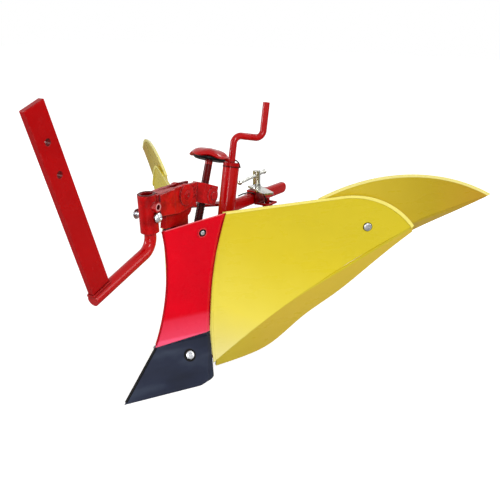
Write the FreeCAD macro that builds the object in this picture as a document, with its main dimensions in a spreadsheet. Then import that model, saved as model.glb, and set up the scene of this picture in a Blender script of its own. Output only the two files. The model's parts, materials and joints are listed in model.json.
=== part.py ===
import FreeCAD, Part
import math
import os
import re
import Sketcher
from FreeCAD import Placement, Rotation, Vector

# Rear ridger for a walking tiller.  +X forward, +Y left, +Z up, floor at Z = 0.
# Lengths along X below are measured back from the point of the share, which lies at TipX.

SIZES = [
    ("TipX", 207.238),
    # share and breast: V plates with level rulings at BreastAngle to the centre plane
    ("BreastAngle", 27.0), ("ShareRise", 78.0), ("ShareRun", 87.0), ("ShareWall", 6.0),
    ("ShareToe", 6.0), ("ShareHalf", 75.0), ("BreastWall", 4.5), ("BreastTop", 299.0), ("BreastTopRun", 112.0),
    ("HollowRun", 127.0), ("BreastHalf", 59.0), ("BreastWaist", 41.0),
    ("BreastTopRise", 17.0), ("SeamGap", 0.6),
    # wings: cut from a hollow cylinder whose rulings run along the wing
    ("WingWall", 4.0), ("WingOpen", 48.4), ("WingLean", 10.2), ("WingClimb", 1.7),
    ("WingDrop", 287.0), ("WingSag", 23.0), ("WingSetback", 15.0), ("WingLength", 384.0),
    ("ExtReach", 542.0), ("ExtGap", 0.3), ("LipLean", 65.0), ("LipDepth", 93.0),
    ("RimWidth", 5.0), ("RimRise", 1.5),
    # hinges of the wings
    ("HingeX", 208.0), ("HingeY", 20.0), ("HingePinDia", 12.0),
    ("KnuckleDia", 22.0), ("KnuckleHeight", 30.0), ("HingeHighZ", 258.0),
    ("HingeLowZ", 140.0), ("LugWall", 8.0), ("RunClear", 0.05), ("SideClear", 0.6),
    # shank, frog, heel
    ("ShankWall", 12.0), ("ShankBack", 190.0), ("ShankFront", 152.0), ("NeckFront", 121.0), ("NeckBack", 200.0),
    ("PivotX", 176.0), ("PivotZ", 358.0), ("PivotDia", 14.0), ("PivotBoss", 40.0),
    ("FrogWall", 5.0), ("FrogHalf", 46.0), ("HeelEnd", 330.0), ("HeelHeight", 14.0), ("HeelWidth", 34.0),
    # beam, tube, crank, tail bar
    ("BeamHeight", 30.0), ("BeamTop", 254.0), ("TubeDia", 33.0), ("TubeWall", 3.5),
    ("TubeFootX", 308.4), ("TubeFootZ", 212.0), ("TubeLean", 11.7), ("TubeLength", 172.0),
    ("CrankDia", 14.0), ("CrankRise", 62.0), ("CrankThrow", 64.0), ("CrankGrip", 73.0),
    ("CrankTurn", 30.0),
    ("CrankBend", 16.0), ("CollarDia", 33.0), ("CollarHeight", 7.0),
    ("TailBarZ", 297.0), ("TailBarHeight", 24.0), ("TailBarWall", 14.0),
    ("TailBarRound", 5.0),
    ("TailBarEnd", 553.0),
    # head: sleeve, cheeks, nut block, pitch screw, star knob
    ("SleeveX", 84.4), ("SleeveZ", 307.0), ("SleeveLean", 4.7), ("SleeveLength", 71.0),
    ("SleeveDia", 34.0), ("CheekWall", 6.0), ("CheekGap", 1.0), ("CheekStep", 3.0),
    ("CheekPadEnd", 140.0), ("CheekTop", 377.0),
    ("CheekLow", 335.0), ("BlockX", 247.0), ("BlockZ", 344.0), ("BlockLength", 62.0),
    ("BlockWidth", 31.0), ("BlockHeight", 38.0), ("BlockBevel", 9.0), ("ScrewDia", 15.0), ("ScrewLean", 19.3),
    ("ScrewBelow", 66.0), ("ScrewAbove", 88.0), ("KnobDia", 84.0), ("KnobHeight", 31.0),
    ("KnobRim", 10.0), ("KnobHub", 30.0), ("WeldGap", 0.2),
    # hitch stay
    ("StayRodDia", 22.0), ("StayLean", 18.7), ("StayRodRun", 165.0), ("BarLean", 20.2), ("StayBend", 30.0),
    ("StayDrop", 30.4), ("StayTopGap", 14.0), ("BarWidth", 43.0), ("BarWall", 12.0),
    ("BarLength", 342.0), ("BarEdge", 1.0), ("PinHoleDia", 12.0), ("PinHoleTop", 62.0),
    ("PinHolePitch", 57.0),
    # wing spreader
    ("SliderX", 440.0), ("SliderLength", 44.0), ("SliderWall", 4.0), ("LinkWall", 6.0),
    ("LinkWidth", 20.0), ("LinkPinDia", 10.0), ("LinkEyeX", 338.0), ("LinkEyeY", 124.0),
    ("SliderEyeY", 26.0), ("LinkZ", 278.0), ("SlotLength", 24.0),
    ("ClampX", 23.3), ("ClampTurn", 56.0), ("ClampWidth", 26.0), ("ClampReach", 62.0),
    ("ClampTall", 27.0), ("SpoolDia", 16.0), ("TommyDia", 7.0), ("TommyTilt", 3.9),
    ("TommyFront", 64.0), ("TommyBack", 30.0), ("TommyZ", 345.0),
    # fasteners
    ("BoltDia", 10.0), ("BoltHead", 19.0), ("BoltHeadHeight", 5.5), ("BoltClear", 0.2),
    ("NutFlats", 17.0), ("NutHeight", 8.0),
]

doc = FreeCAD.newDocument("Ridger")
sheet = doc.addObject("Spreadsheet::Sheet", "Sizes")
for row, (alias, value) in enumerate(SIZES, start=1):
    sheet.set("A%d" % row, alias)
    sheet.set("B%d" % row, str(value))
    sheet.setAlias("B%d" % row, alias)
doc.recompute()
NAMES = {alias for alias, value in SIZES}
PIECES = []


def bound(expression):
    """The expression with every named size pointing at its cell."""
    return re.sub(r"[A-Z][A-Za-z]+", lambda m: "Sizes." + m[0] if m[0] in NAMES else m[0],
                  str(expression))


def val(expression):
    """The expression's value now, in mm or degrees."""
    result = sheet.evalExpression(bound(expression))
    return float(getattr(result, "Value", result))


def bind(obj, **sizes):
    for prop, expression in sizes.items():
        obj.setExpression(prop, bound(expression))
    return obj


def local(x=0.0, y=0.0, z=0.0, axis=(0, 0, 1), angle=0.0):
    return Placement(Vector(x, y, z), Rotation(Vector(*axis), angle))


def at(back=0.0, y=0.0, z=0.0, lean=0.0):
    """A place in the frame, back from the share's point, with +Z leaning back by lean."""
    return Placement(Vector(val("TipX") - back, y, z), Rotation(Vector(0, 1, 0), -lean))


def cylinder(name, dia, height, place=None):
    part = doc.addObject("Part::Cylinder", name)
    bind(part, Radius="(%s)/2" % dia, Height=height)
    part.Placement = place or Placement()
    return part


def across(name, dia, width, x=0.0, z=0.0, y=0.0):
    """A cylinder lying along Y, centred on y."""
    return cylinder(name, dia, width, local(x, y - val(width) / 2, z, (1, 0, 0), -90))


def block(name, length, width, height, place=None):
    part = doc.addObject("Part::Box", name)
    bind(part, Length=length, Width=width, Height=height)
    part.Placement = place or Placement()
    return part


def cut(name, base, *tools):
    part = doc.addObject("Part::Cut", name)
    part.Base = base
    part.Tool = tools[0] if len(tools) == 1 else fuse(name + "Tools", *tools)
    return part


def fuse(name, *shapes):
    part = doc.addObject("Part::MultiFuse", name)
    part.Shapes = list(shapes)
    return part


def common(name, *shapes):
    part = doc.addObject("Part::MultiCommon", name)
    part.Shapes = list(shapes)
    return part


def pin_point(sk, geo, pos, x, y):
    """Ties one sketch point to two expressions."""
    for kind, expression in (("DistanceX", x), ("DistanceY", y)):
        number = sk.addConstraint(Sketcher.Constraint(kind, -1, 1, geo, pos, val(expression)))
        sk.setExpression("Constraints[%d]" % number, bound(expression))


def outline(sk, points):
    """Closed outline through points given as expressions.  A point of four bends the leg
    that starts at it through its third and fourth values."""
    for i, start in enumerate(points):
        end = points[(i + 1) % len(points)]
        a, b = Vector(val(start[0]), val(start[1])), Vector(val(end[0]), val(end[1]))
        first, last = 1, 2
        if len(start) == 4:
            geo = sk.addGeometry(Part.Arc(a, Vector(val(start[2]), val(start[3])), b), False)
            if (sk.getPoint(geo, 1) - a).Length > 1e-6:
                first, last = 2, 1
        else:
            geo = sk.addGeometry(Part.LineSegment(a, b), False)
        pin_point(sk, geo, first, start[0], start[1])
        pin_point(sk, geo, last, end[0], end[1])


def round_hole(sk, x, y, dia):
    geo = sk.addGeometry(Part.Circle(Vector(val(x), val(y)), Vector(0, 0, 1), val(dia) / 2))
    pin_point(sk, geo, 3, x, y)
    number = sk.addConstraint(Sketcher.Constraint("Diameter", geo, val(dia)))
    sk.setExpression("Constraints[%d]" % number, bound(dia))


def plate(name, role, points, thickness, holes=(), middle=True):
    """A flat piece: one padded sketch on a base plane of its own body."""
    body = doc.addObject("PartDesign::Body", name)
    sk = body.newObject("Sketcher::SketchObject", name + "Outline")
    plane = next(f for f in body.Origin.OriginFeatures if f.Role == role)
    sk.AttachmentSupport = [(plane, "")]
    sk.MapMode = "FlatFace"
    outline(sk, points)
    for hole in holes:
        round_hole(sk, *hole)
    pad = body.newObject("PartDesign::Pad", name + "Pad")
    pad.Profile = sk
    pad.Midplane = middle
    bind(pad, Length=thickness)
    return body


def trimmed(body, kind, size, edges):
    """A fillet or chamfer on the body's tip; edges picks them by a test on the edge."""
    doc.recompute()
    base = body.Tip
    chosen = ["Edge%d" % n for n, e in enumerate(base.Shape.Edges, start=1) if edges(e)]
    feature = body.newObject("PartDesign::" + kind, body.Name + kind)
    feature.Base = (base, chosen)
    bind(feature, **{"Radius" if kind == "Fillet" else "Size": size})
    return body


def node(part, label, place=None):
    """Labels the piece after its file and puts it in the frame."""
    part.Label = label
    if place is not None:
        part.Placement = place
    PIECES.append(part)
    return part


def both_hands(part, label):
    """The left piece and its mirror image on the right."""
    node(part, "left_" + label)
    twin = doc.addObject("Part::Mirroring", "Right" + part.Name)
    twin.Source = part
    twin.Normal = Vector(0, 1, 0)
    return node(twin, "right_" + label)


def hexagon(flats, height, base):
    """A hexagonal prism standing on base along +Z."""
    corners = [Vector(math.cos(math.radians(60 * n)), math.sin(math.radians(60 * n)), 0) *
               (flats / math.sqrt(3)) + base for n in range(7)]
    return Part.Face(Part.makePolygon(corners)).extrude(Vector(0, 0, height))


def bolt_shape(length, head="BoltHead", dia="BoltDia", nut=None, tall="BoltHeadHeight"):
    """A round-headed bolt along -Z from the underside of its head at the origin, with a
    nut whose near face lies at depth nut."""
    half, tall = val(head) / 2, val(tall)
    shank = Part.makeCylinder(val(dia) / 2, length, Vector(0, 0, -length))
    radius = (half ** 2 + tall ** 2) / (2 * tall)
    dome = Part.makeSphere(radius, Vector(0, 0, tall - radius)).common(
        Part.makeCylinder(half + 1, tall + 1))
    socket = Part.makeCylinder(half * 0.36, tall * 0.5, Vector(0, 0, tall * 0.5))
    shape = shank.fuse(dome.cut(socket))
    if nut is not None:
        shape = shape.fuse(hexagon(val("NutFlats"), val("NutHeight"),
                                   Vector(0, 0, -nut - val("NutHeight"))))
    return shape


def solid_from(name, shape):
    part = doc.addObject("Part::Feature", name)
    part.Shape = shape
    return part


class Seat:
    """Where a bolt's head sits on a plate: a point and the outward normal there."""

    def __init__(self, where, normal, proud):
        self.normal = normal.normalize()
        self.where = where
        self.place = Placement(where + self.normal * proud,
                               Rotation(Vector(0, 0, 1), self.normal))

    def drills(self, name, both=True):
        """Cylinders that clear the bolt, on the left and by mirror on the right."""
        turns = [(self.where, self.normal)]
        if both:
            turns.append((Vector(self.where.x, -self.where.y, self.where.z),
                          Vector(self.normal.x, -self.normal.y, self.normal.z)))
        return [cylinder(name, "BoltDia+2*BoltClear", "60",
                         Placement(spot - way * 30, Rotation(Vector(0, 0, 1), way)))
                for spot, way in turns]

    def bolt(self, name, label, grip, place):
        """The bolt pair: grip is the depth of its nut below the plate's face."""
        depth = grip + self.place.Base.distanceToPoint(self.where)
        shape = bolt_shape(depth + val("NutHeight+3"), nut=depth)
        part = solid_from(name, shape)
        part.Placement = place * self.place
        both_hands(part, label)


# ---------------------------------------------------------------- share, breast, frog
SIN_V, COS_V = "sin(BreastAngle*1deg)", "cos(BreastAngle*1deg)"
BREAST_X = "BreastWall/" + SIN_V
SHARE_X = "ShareWall/0.406"


def v_plate(name, profile, front):
    """Side profile swept both ways along the level rulings, trimmed by a front outline."""
    angle, sides = math.radians(val("BreastAngle")), []
    for side in (1, -1):
        sk = doc.addObject("Sketcher::SketchObject", name + "Profile")
        sk.Placement = local(axis=(1, 0, 0), angle=90)
        outline(sk, profile)
        run = doc.addObject("Part::Extrusion", name + "Run")
        run.Base, run.DirMode, run.Solid = sk, "Custom", True
        run.Dir = Vector(-math.cos(angle), side * math.sin(angle), 0)
        run.LengthFwd = 1.3 * val("ShareHalf") / math.sin(angle)
        sides.append(run)
    window = plate(name + "Window", "YZ_Plane", front, "1600")
    return common(name, fuse(name + "V", *sides), window)


def both_sides(half):
    """The whole front outline from its left half, given from bottom to top centre."""
    right = []
    for here, before in zip(reversed(half), list(reversed(half))[1:]):
        point = ("-(%s)" % here[0], here[1])
        if len(before) == 4:
            point += ("-(%s)" % before[2], before[3])
        right.append(point)
    right[0] = (half[-1][0], half[-1][1]) + right[0][2:]
    return list(half[:-1]) + right


ridge = ("HollowRun", "(ShareRise+BreastTop)/2+2")
over = "BreastTop+BreastTopRise+4"
angle = math.radians(val("BreastAngle"))
ruling = Vector(-math.cos(angle), math.sin(angle), 0)
bend = Part.Arc(Vector(-val("ShareRun"), 0, val("ShareRise")),
                Vector(-val("HollowRun"), 0, val(ridge[1])),
                Vector(-val("BreastTopRun"), 0, val(over)))
bend_at = bend.parameter(Vector(-val("BreastTopRun+3.5"), 0, val("BreastTop-17")))
BREAST_SEAT = Seat(bend.value(bend_at) + ruling * (val("BreastHalf*0.61") / math.sin(angle)),
                   ruling.cross(Vector(*bend.tangent(bend_at)[0]) *
                                (1 if bend.tangent(bend_at)[0].z > 0 else -1)), 0.35)
slope = Vector(-val("ShareRun+ShareToe"), 0, val("ShareRise")).normalize()
SHARE_SEAT = Seat(Vector(val("ShareToe"), 0, 0) + slope * (val("ShareRise*0.69") / slope.z) +
                  ruling * (41.3 / math.sin(angle)), ruling.cross(slope), 0.1)
breast = v_plate(
    "Breast",
    [("-ShareRun", "ShareRise", "-HollowRun", ridge[1]), ("-BreastTopRun", over),
     ("-BreastTopRun-" + BREAST_X, over, "-HollowRun-" + BREAST_X, ridge[1]),
     ("-ShareRun-" + BREAST_X, "ShareRise")],
    both_sides([("0", "ShareRise+SeamGap/2"),
                ("BreastWaist+7", "ShareRise+8+SeamGap/2", "BreastWaist", "175"),
                ("BreastHalf", "BreastTop+BreastTopRise"), ("0", "BreastTop")]))
node(cut("BreastDrilled", breast, *BREAST_SEAT.drills("BreastDrill")), "breast", at())
BREAST_SEAT.bolt("BreastBolt", "breast_bolt", val("BreastWall") + 0.9, at())

share = v_plate(
    "Share",
    [("ShareToe", "0"), ("-ShareRun", "ShareRise"), ("-ShareRun-2", "ShareRise+9"),
     ("-ShareRun-2-" + SHARE_X, "ShareRise+9"), ("-" + SHARE_X, "0")],
    both_sides([("0", "0"), ("ShareHalf-6", "0", "ShareHalf-1.5", "2"), ("ShareHalf", "8"),
                ("BreastWaist+7", "ShareRise+8-SeamGap/2"), ("0", "ShareRise-SeamGap/2")]))
node(cut("ShareDrilled", share, *SHARE_SEAT.drills("ShareDrill")), "share", at())

FROG_X = "(%s+4)" % SHARE_X
FROG_FOOT = "ShareToe-(ShareRun+ShareToe)*36/ShareRise-" + FROG_X
frog = v_plate(
    "Frog",
    [(FROG_FOOT, "36"), ("-ShareRun-" + FROG_X, "ShareRise"), ("-ShareRun-12-" + FROG_X, "96"),
     ("-ShareRun-24-" + FROG_X, "96"), ("-ShareRun-12-" + FROG_X, "ShareRise"),
     (FROG_FOOT + "-12", "36")],
    both_sides([("0", "36"), ("FrogHalf", "36"), ("FrogHalf", "58"), ("FrogHalf-10", "70"),
                ("FrogHalf-10", "96"), ("0", "96")]))
frog = cut("FrogSlotted", frog, block("FrogSlot", "400", "ShankWall+2*WeldGap", "300",
                                      local(-500, -val("ShankWall/2+WeldGap"), 0)),
           *SHARE_SEAT.drills("FrogDrill"))
node(frog, "frog", at())
SHARE_SEAT.bolt("ShareBolt", "share_bolt", val("ShareWall+FrogWall") + 4.2, at())

# ---------------------------------------------------------------- shank, heel, beam
node(plate("Shank", "XZ_Plane",
           [("-ShankFront", "60"), ("-ShankFront", "BreastTop+3"),
            ("-NeckFront", "BreastTop+5"), ("-NeckFront-4", "BreastTop+32"),
            ("-PivotX+PivotBoss*0.33", "PivotZ+PivotBoss*0.25",
             "-PivotX", "PivotZ+PivotBoss*0.42"),
            ("-PivotX-PivotBoss*0.38", "PivotZ+PivotBoss*0.1"),
            ("-NeckBack", "PivotZ-PivotBoss*0.55", "-NeckBack-1.5", "BreastTop+32"),
            ("-NeckBack+10", "BreastTop+15"), ("-ShankBack", "BreastTop+9"),
            ("-ShankBack", "HeelHeight+WeldGap"), ("-ShankFront-10", "HeelHeight+WeldGap")],
           "ShankWall", [("-PivotX", "PivotZ", "PivotDia+2*RunClear")]),
     "shank", at())
node(plate("Heel", "XZ_Plane",
           [("-ShankFront", "0"), ("-ShankFront", "HeelHeight"), ("-HeelEnd+30", "HeelHeight"),
            ("-HeelEnd", "HeelHeight+10"), ("-HeelEnd", "HeelHeight"), ("-HeelEnd+8", "0")],
           "HeelWidth"), "heel", at())

tube_place = local(-val("TubeFootX"), 0, val("TubeFootZ"), (0, 1, 0), -val("TubeLean"))
mouth = ("TubeDia+2*WeldGap", "TubeLength", tube_place)
beam = block("BeamBar", "TubeFootX+20-ShankBack-WeldGap", "ShankWall", "BeamHeight",
             local(-val("TubeFootX+20"), -val("ShankWall/2"), val("BeamTop-BeamHeight")))
beam = cut("BeamToTube", beam, cylinder("BeamMouth", *mouth),
           block("BeamBehind", "120", "60", "100",
                 local(-val("TubeFootX+120"), -30, val("BeamTop-60"))))
node(beam, "beam", at())

# ---------------------------------------------------------------- tube, crank, tail bar
tube = cut("Tube", cylinder("TubeOut", "TubeDia", "TubeLength"),
           cylinder("TubeIn", "TubeDia-2*TubeWall", "TubeLength+2", local(z=-1)))
TUBE = at(val("TubeFootX"), 0, val("TubeFootZ"), val("TubeLean"))
node(tube, "crank_tube", TUBE)
collar = cut("Collar", cylinder("CollarOut", "CollarDia", "CollarHeight"),
             cylinder("CollarIn", "CrankDia+2*RunClear", "CollarHeight+2", local(z=-1)))
node(collar, "crank_collar", TUBE * local(z=val("TubeLength+WeldGap")))


def bent_rod(points, dia, radii):
    """Round rod along straight runs joined by tangent arcs."""
    edges, here = [], points[0]
    for i, radius in enumerate(radii, start=1):
        a, b, c = points[i - 1], points[i], points[i + 1]
        before, after = (b - a).normalize(), (c - b).normalize()
        turn = before.getAngle(after)
        reach = radius * math.tan(turn / 2)
        start, end = b - before * reach, b + after * reach
        middle = b + (after - before).normalize() * (radius / math.cos(turn / 2) - radius)
        edges += [Part.LineSegment(here, start).toShape(),
                  Part.Arc(start, middle, end).toShape()]
        here = end
    edges.append(Part.LineSegment(here, points[-1]).toShape())
    first = (points[1] - points[0]).normalize()
    ring = Part.Wire([Part.Circle(points[0], first, dia / 2).toShape()])
    return Part.Wire(edges).makePipeShell([ring], True, False)


low, top = -60.0, val("TubeLength+CrankRise")
crank = bent_rod([Vector(0, 0, low), Vector(0, 0, top), Vector(-val("CrankThrow"), 0, top),
                  Vector(-val("CrankThrow"), 0, top + val("CrankGrip"))],
                 val("CrankDia"), [val("CrankBend"), val("CrankBend")])
node(solid_from("Crank", crank), "crank_handle", TUBE * local(angle=-val("CrankTurn")))

tail = block("TailBlock", "TailBarEnd-TailBarHeight/2-TubeFootX", "TailBarWall",
             "TailBarHeight", local(-val("TailBarEnd-TailBarHeight/2"),
                                    -val("TailBarWall/2"), val("TailBarZ-TailBarHeight/2")))
tail = fuse("TailRound", tail, across("TailNose", "TailBarHeight", "TailBarWall",
                                      -val("TailBarEnd-TailBarHeight/2"), val("TailBarZ")))
tail = cut("TailToTube", tail, cylinder("TailMouth", *mouth),
           block("TailAhead", "100", "60", "200", local(-val("TubeFootX+14"), -30,
                                                        val("TailBarZ-100"))))
doc.recompute()
long_edges = [e for e in tail.Shape.Edges
              if (e.Curve.TypeId == "Part::GeomLine" and abs(e.tangentAt(e.FirstParameter).x) > 0.99 and
                  e.Length > 100) or (e.Curve.TypeId == "Part::GeomCircle" and
                                      abs(e.Curve.Radius - val("TailBarHeight/2")) < 0.01)]
node(solid_from("TailBar", tail.Shape.makeFillet(val("TailBarRound"), long_edges)),
     "tail_bar", at())

# ---------------------------------------------------------------- head
SLEEVE = at(val("SleeveX"), 0, val("SleeveZ"), -val("SleeveLean"))
sleeve_low = local(-val("SleeveX"), 0, val("SleeveZ"), (0, 1, 0), val("SleeveLean"))
weld_nut = solid_from("SleeveNut", hexagon(val("NutFlats"), 11, Vector()))
weld_nut.Placement = local(0, val("SleeveDia/2") - 3.4, val("SleeveLength*0.7"), (1, 0, 0), -90)
sleeve = fuse("SleeveAndNut", cylinder("SleeveOut", "SleeveDia", "SleeveLength"), weld_nut)
sleeve = cut("Sleeve", sleeve,
             cylinder("SleeveIn", "StayRodDia+2*RunClear", "SleeveLength+2", local(z=-1)),
             across("SleeveBossHole", "BoltDia", "60", 0, val("SleeveLength*0.7"), 30),
             across("SleeveScrewHole", "BoltDia+0.2", "120", 0, val("SleeveLength*0.42")))
node(sleeve, "hitch_sleeve", SLEEVE)

screws = []
for side in (1, -1):
    inner = val("StayRodDia/2") + 0.3
    head = val("SleeveDia/2") + (10 if side < 0 else 6)
    shape = bolt_shape(head - inner)
    shape.Placement = local(0, side * head, 0, (1, 0, 0), -side * 90)
    screws.append(shape)
sleeve_screws = solid_from("SleeveScrews", Part.makeCompound(screws))
node(sleeve_screws, "sleeve_screws", SLEEVE * local(z=val("SleeveLength*0.42")))

inner = "ShankWall/2+CheekGap"
cheeks, rivet_holes = [], []
for side in (1, -1):
    flat = plate("Cheek", "XZ_Plane",
                 [("-SleeveX+4", "CheekLow"), ("-SleeveX+4", "CheekTop-3"),
                  ("-PivotX+PivotBoss/2", "CheekTop"),
                  ("-BlockX+BlockLength/2+6", "CheekTop-2"),
                  ("-BlockX+BlockLength/2+10", "BlockZ-BlockHeight/2+2"),
                  ("-PivotX-PivotBoss/2", "PivotZ-PivotBoss/2-6"),
                  ("-PivotX+PivotBoss/2", "CheekLow-8")],
                 "CheekWall")
    flat.Placement = local(y=side * val(inner + "+CheekWall/2"))
    boss = across("CheekBoss", "PivotBoss", "CheekWall+CheekStep", -val("PivotX"),
                  val("PivotZ"), side * val(inner + "+CheekWall/2+CheekStep/2"))
    pad = plate("CheekPad", "XZ_Plane",
                [("-SleeveX-13", "CheekLow"), ("-SleeveX-13", "CheekTop-3"),
                 ("-CheekPadEnd", "CheekTop-1"), ("-CheekPadEnd", "CheekLow-5")],
                "CheekWall+CheekStep")
    pad.Placement = local(y=side * val(inner + "+(CheekWall+CheekStep)/2"))
    cheeks.append(fuse("CheekAndBoss", flat, boss, pad))
for x, z in ((-200.5, 366.0), (-200.8, 352.0)):
    rivet_holes.append(across("RivetHole", "5.4", "80", x, z))
web = block("ArmWeb", "PivotX-PivotBoss/2-3-SleeveX-SleeveDia/2",
            "2*(CheekGap+CheekWall)+ShankWall",
            "CheekWall", local(-val("PivotX-PivotBoss/2-3"),
                               -val("CheekGap+CheekWall+ShankWall/2"),
                               val("CheekTop-2-CheekWall")))
cheeks = [fuse("Cheeks", web, *cheeks)]
block_place = local(-val("BlockX"), 0, val("BlockZ"), (0, 1, 0), -val("ScrewLean"))
arm = cut("Arm", cheeks[0], *rivet_holes,
          cylinder("ArmMouth", "SleeveDia+2*WeldGap", "SleeveLength+40",
                   sleeve_low * local(z=-20)),
          across("ArmBore", "PivotDia", "120", -val("PivotX"), val("PivotZ")),
          block("ArmEnd", "BlockLength+2*WeldGap", "80", "BlockHeight+60",
                block_place * local(-val("BlockLength/2+WeldGap"), -40,
                                    -val("BlockHeight/2") - 30)))
node(arm, "head_arm", at())

half_wide = "(BlockWidth/2)"
nut = plate("NutBlock", "XY_Plane",
            [("BlockLength/2", half_wide + "-BlockBevel"), ("BlockLength/2-BlockBevel*1.4", half_wide),
             ("-BlockLength/2+BlockBevel", half_wide,
              "-BlockLength/2+BlockBevel*0.3", half_wide + "-BlockBevel*0.3"),
             ("-BlockLength/2", half_wide + "-BlockBevel"), ("-BlockLength/2", "-%s+BlockBevel" % half_wide,
              "-BlockLength/2+BlockBevel*0.3", "-%s+BlockBevel*0.3" % half_wide),
             ("-BlockLength/2+BlockBevel", "-" + half_wide),
             ("BlockLength/2-BlockBevel*1.4", "-" + half_wide),
             ("BlockLength/2", "-%s+BlockBevel" % half_wide)], "BlockHeight")
nut = cut("NutBored", fuse("NutAndPads", nut,
                           across("NutPad", "BlockHeight*0.86", "BlockWidth+3", -10, -1),
                           across("NutPin", "BlockHeight*0.4", "BlockWidth+8", -10, -1)),
          cylinder("NutBore", "ScrewDia", "BlockHeight+20", local(z=-val("BlockHeight"))))
BLOCK = at(val("BlockX"), 0, val("BlockZ"), val("ScrewLean"))
node(nut, "nut_block", BLOCK)
node(cylinder("PitchScrew", "ScrewDia-2*RunClear", "ScrewBelow+ScrewAbove-KnobHeight"),
     "pitch_screw", BLOCK * local(z=-val("ScrewBelow")))

radius, tall, rim = val("KnobDia/2"), val("KnobHeight"), val("KnobRim")
lobes = [Part.makeCylinder(radius * 0.40, tall, Vector(math.cos(turn), math.sin(turn), 0) *
                           radius * 0.60)
         for turn in [math.radians(72 * n + 20) for n in range(5)]]
knob = Part.makeCylinder(radius * 0.78, tall).multiFuse(lobes).removeSplitter()
crown = (radius ** 2 + (tall - rim) ** 2) / (2 * (tall - rim))
knob = knob.common(Part.makeSphere(crown, Vector(0, 0, tall - crown)))
knob = knob.cut(Part.makeCone(radius * 0.74, radius * 0.56, rim * 0.6)).fuse(
    Part.makeCylinder(val("KnobHub/2"), rim))
node(solid_from("StarKnob", knob), "star_knob",
     BLOCK * local(z=val("ScrewAbove-KnobHeight+0.1")))
pivot_reach = val(inner + "+CheekWall+CheekStep") + 0.1
pivot = bolt_shape(2 * pivot_reach + 2, "PivotDia+4", "PivotDia", tall="2.5")
pivot = pivot.fuse(Part.makeCylinder(val("PivotDia/2") + 2, 2.4,
                                     Vector(0, 0, -2 * pivot_reach - 2.4)))
node(solid_from("PivotBolt", pivot), "pivot_bolt",
     at(val("PivotX"), pivot_reach, val("PivotZ")) * local(axis=(1, 0, 0), angle=-90))
rivets = []
for side in (1, -1):
    for x, z in ((-200.5, 366.0), (-200.8, 352.0)):
        rivet = bolt_shape(4, "9", "5", tall="3")
        rivet.Placement = local(x, side * (val(inner + "+CheekWall") + 0.1), z,
                                (1, 0, 0), -side * 90)
        rivets.append(rivet)
node(solid_from("ArmRivets", Part.makeCompound(rivets)), "arm_rivets", at())

# ---------------------------------------------------------------- hitch stay
# local frame: origin where the rod's two straight runs would meet, +Z up the sleeve
lean = math.radians(val("StayLean") - val("SleeveLean"))
out = Vector(math.cos(lean), 0, -math.sin(lean))
STAY = SLEEVE * local(z=-val("StayDrop"))
rod_end = out * val("StayRodRun")
rod = bent_rod([rod_end, Vector(), Vector(0, 0, val("StayDrop+SleeveLength-StayTopGap"))],
               val("StayRodDia"), [val("StayBend")])
node(solid_from("StayRod", rod), "hitch_rod", STAY)
bar = plate("StayBar", "XZ_Plane",
            [("0", "0"), ("0", "BarLength"), ("-BarWidth", "BarLength"), ("-BarWidth", "0")],
            "BarWall",
            [("-BarWidth/2", "BarLength-PinHoleTop", "PinHoleDia"),
             ("-BarWidth/2", "BarLength-PinHoleTop-PinHolePitch", "PinHoleDia")])
trimmed(bar, "Chamfer", "BarEdge", lambda e: len(e.Vertexes) == 2)
bar_place = Placement(rod_end, Rotation(Vector(0, 1, 0), val("BarLean-SleeveLean")))
node(bar, "hitch_bar", STAY * bar_place * local(z=val("StayRodDia/2+WeldGap+1.2")))

# ---------------------------------------------------------------- wings
turn, climb, lean = (math.radians(val(n)) for n in ("WingOpen", "WingClimb", "WingLean"))
along = Vector(-math.cos(turn) * math.cos(climb), math.sin(turn) * math.cos(climb),
               math.sin(climb))
flat_out = Vector(math.sin(turn), math.cos(turn), 0)
upright = flat_out.cross(along)
outward = flat_out * math.cos(lean) + upright * math.sin(lean)
upward = outward.cross(along)
root = Vector(-val("BreastTopRun+BreastHalf/tan(BreastAngle*1deg)"), val("BreastHalf"),
              val("BreastTop+BreastTopRise"))
turned = FreeCAD.Matrix(along.x, upward.x, outward.x, root.x, along.y, upward.y, outward.y,
                        root.y, along.z, upward.z, outward.z, root.z, 0, 0, 0, 1)
in_wing = Placement(turned)                # wing frame to the share-point frame
WING = at() * in_wing
hollow = val("(WingDrop*WingDrop/4+WingSag*WingSag)/(2*WingSag)")
centre = Vector(-200, -val("WingDrop/2"), hollow - val("WingSag+WingSetback"))


def shell(name, depth, wall):
    """The hollow cylinder's skin between depth and depth + wall behind the wing's face."""
    skins = []
    for extra in (depth + "+" + wall, depth):
        skin = cylinder(name + "Skin", "2*(%s)" % extra, "900",
                        Placement(centre, Rotation(Vector(0, 1, 0), 90)))
        skin.setExpression("Radius", bound(
            "(WingDrop*WingDrop/4+WingSag*WingSag)/(2*WingSag)+" + extra))
        skins.append(skin)
    return cut(name + "Shell", *skins)


def face(v):
    """Depth of the wing's outer face at height v of the wing frame."""
    rise = v - centre.y
    return centre.z - math.sqrt(hollow ** 2 - rise ** 2)


def lip(points):
    """The turned-in lower edge: points are (along, up, depth of the lip there)."""
    inward = (flat_out * -math.cos(math.radians(val("LipLean"))) -
              Vector(0, 0, math.sin(math.radians(val("LipLean")))))
    down = Vector(inward.dot(along), inward.dot(upward), inward.dot(outward))
    crease = [Vector(u, v + 1, face(v) - val("WingWall") * 0.4) for u, v, depth in points]
    edge = [p + down * depth for p, (u, v, depth) in zip(crease, points)]
    chord = (crease[-1] - crease[0]).normalize()
    normal = down.cross(chord).normalize()
    if normal.z > 0:
        normal = normal * -1
    curves = []
    for row in (crease, edge):
        curve = Part.BSplineCurve()
        curve.interpolate(row)
        curves.append(curve.toShape())
    return Part.makeRuledSurface(*curves).extrude(normal * val("WingWall"))


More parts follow.
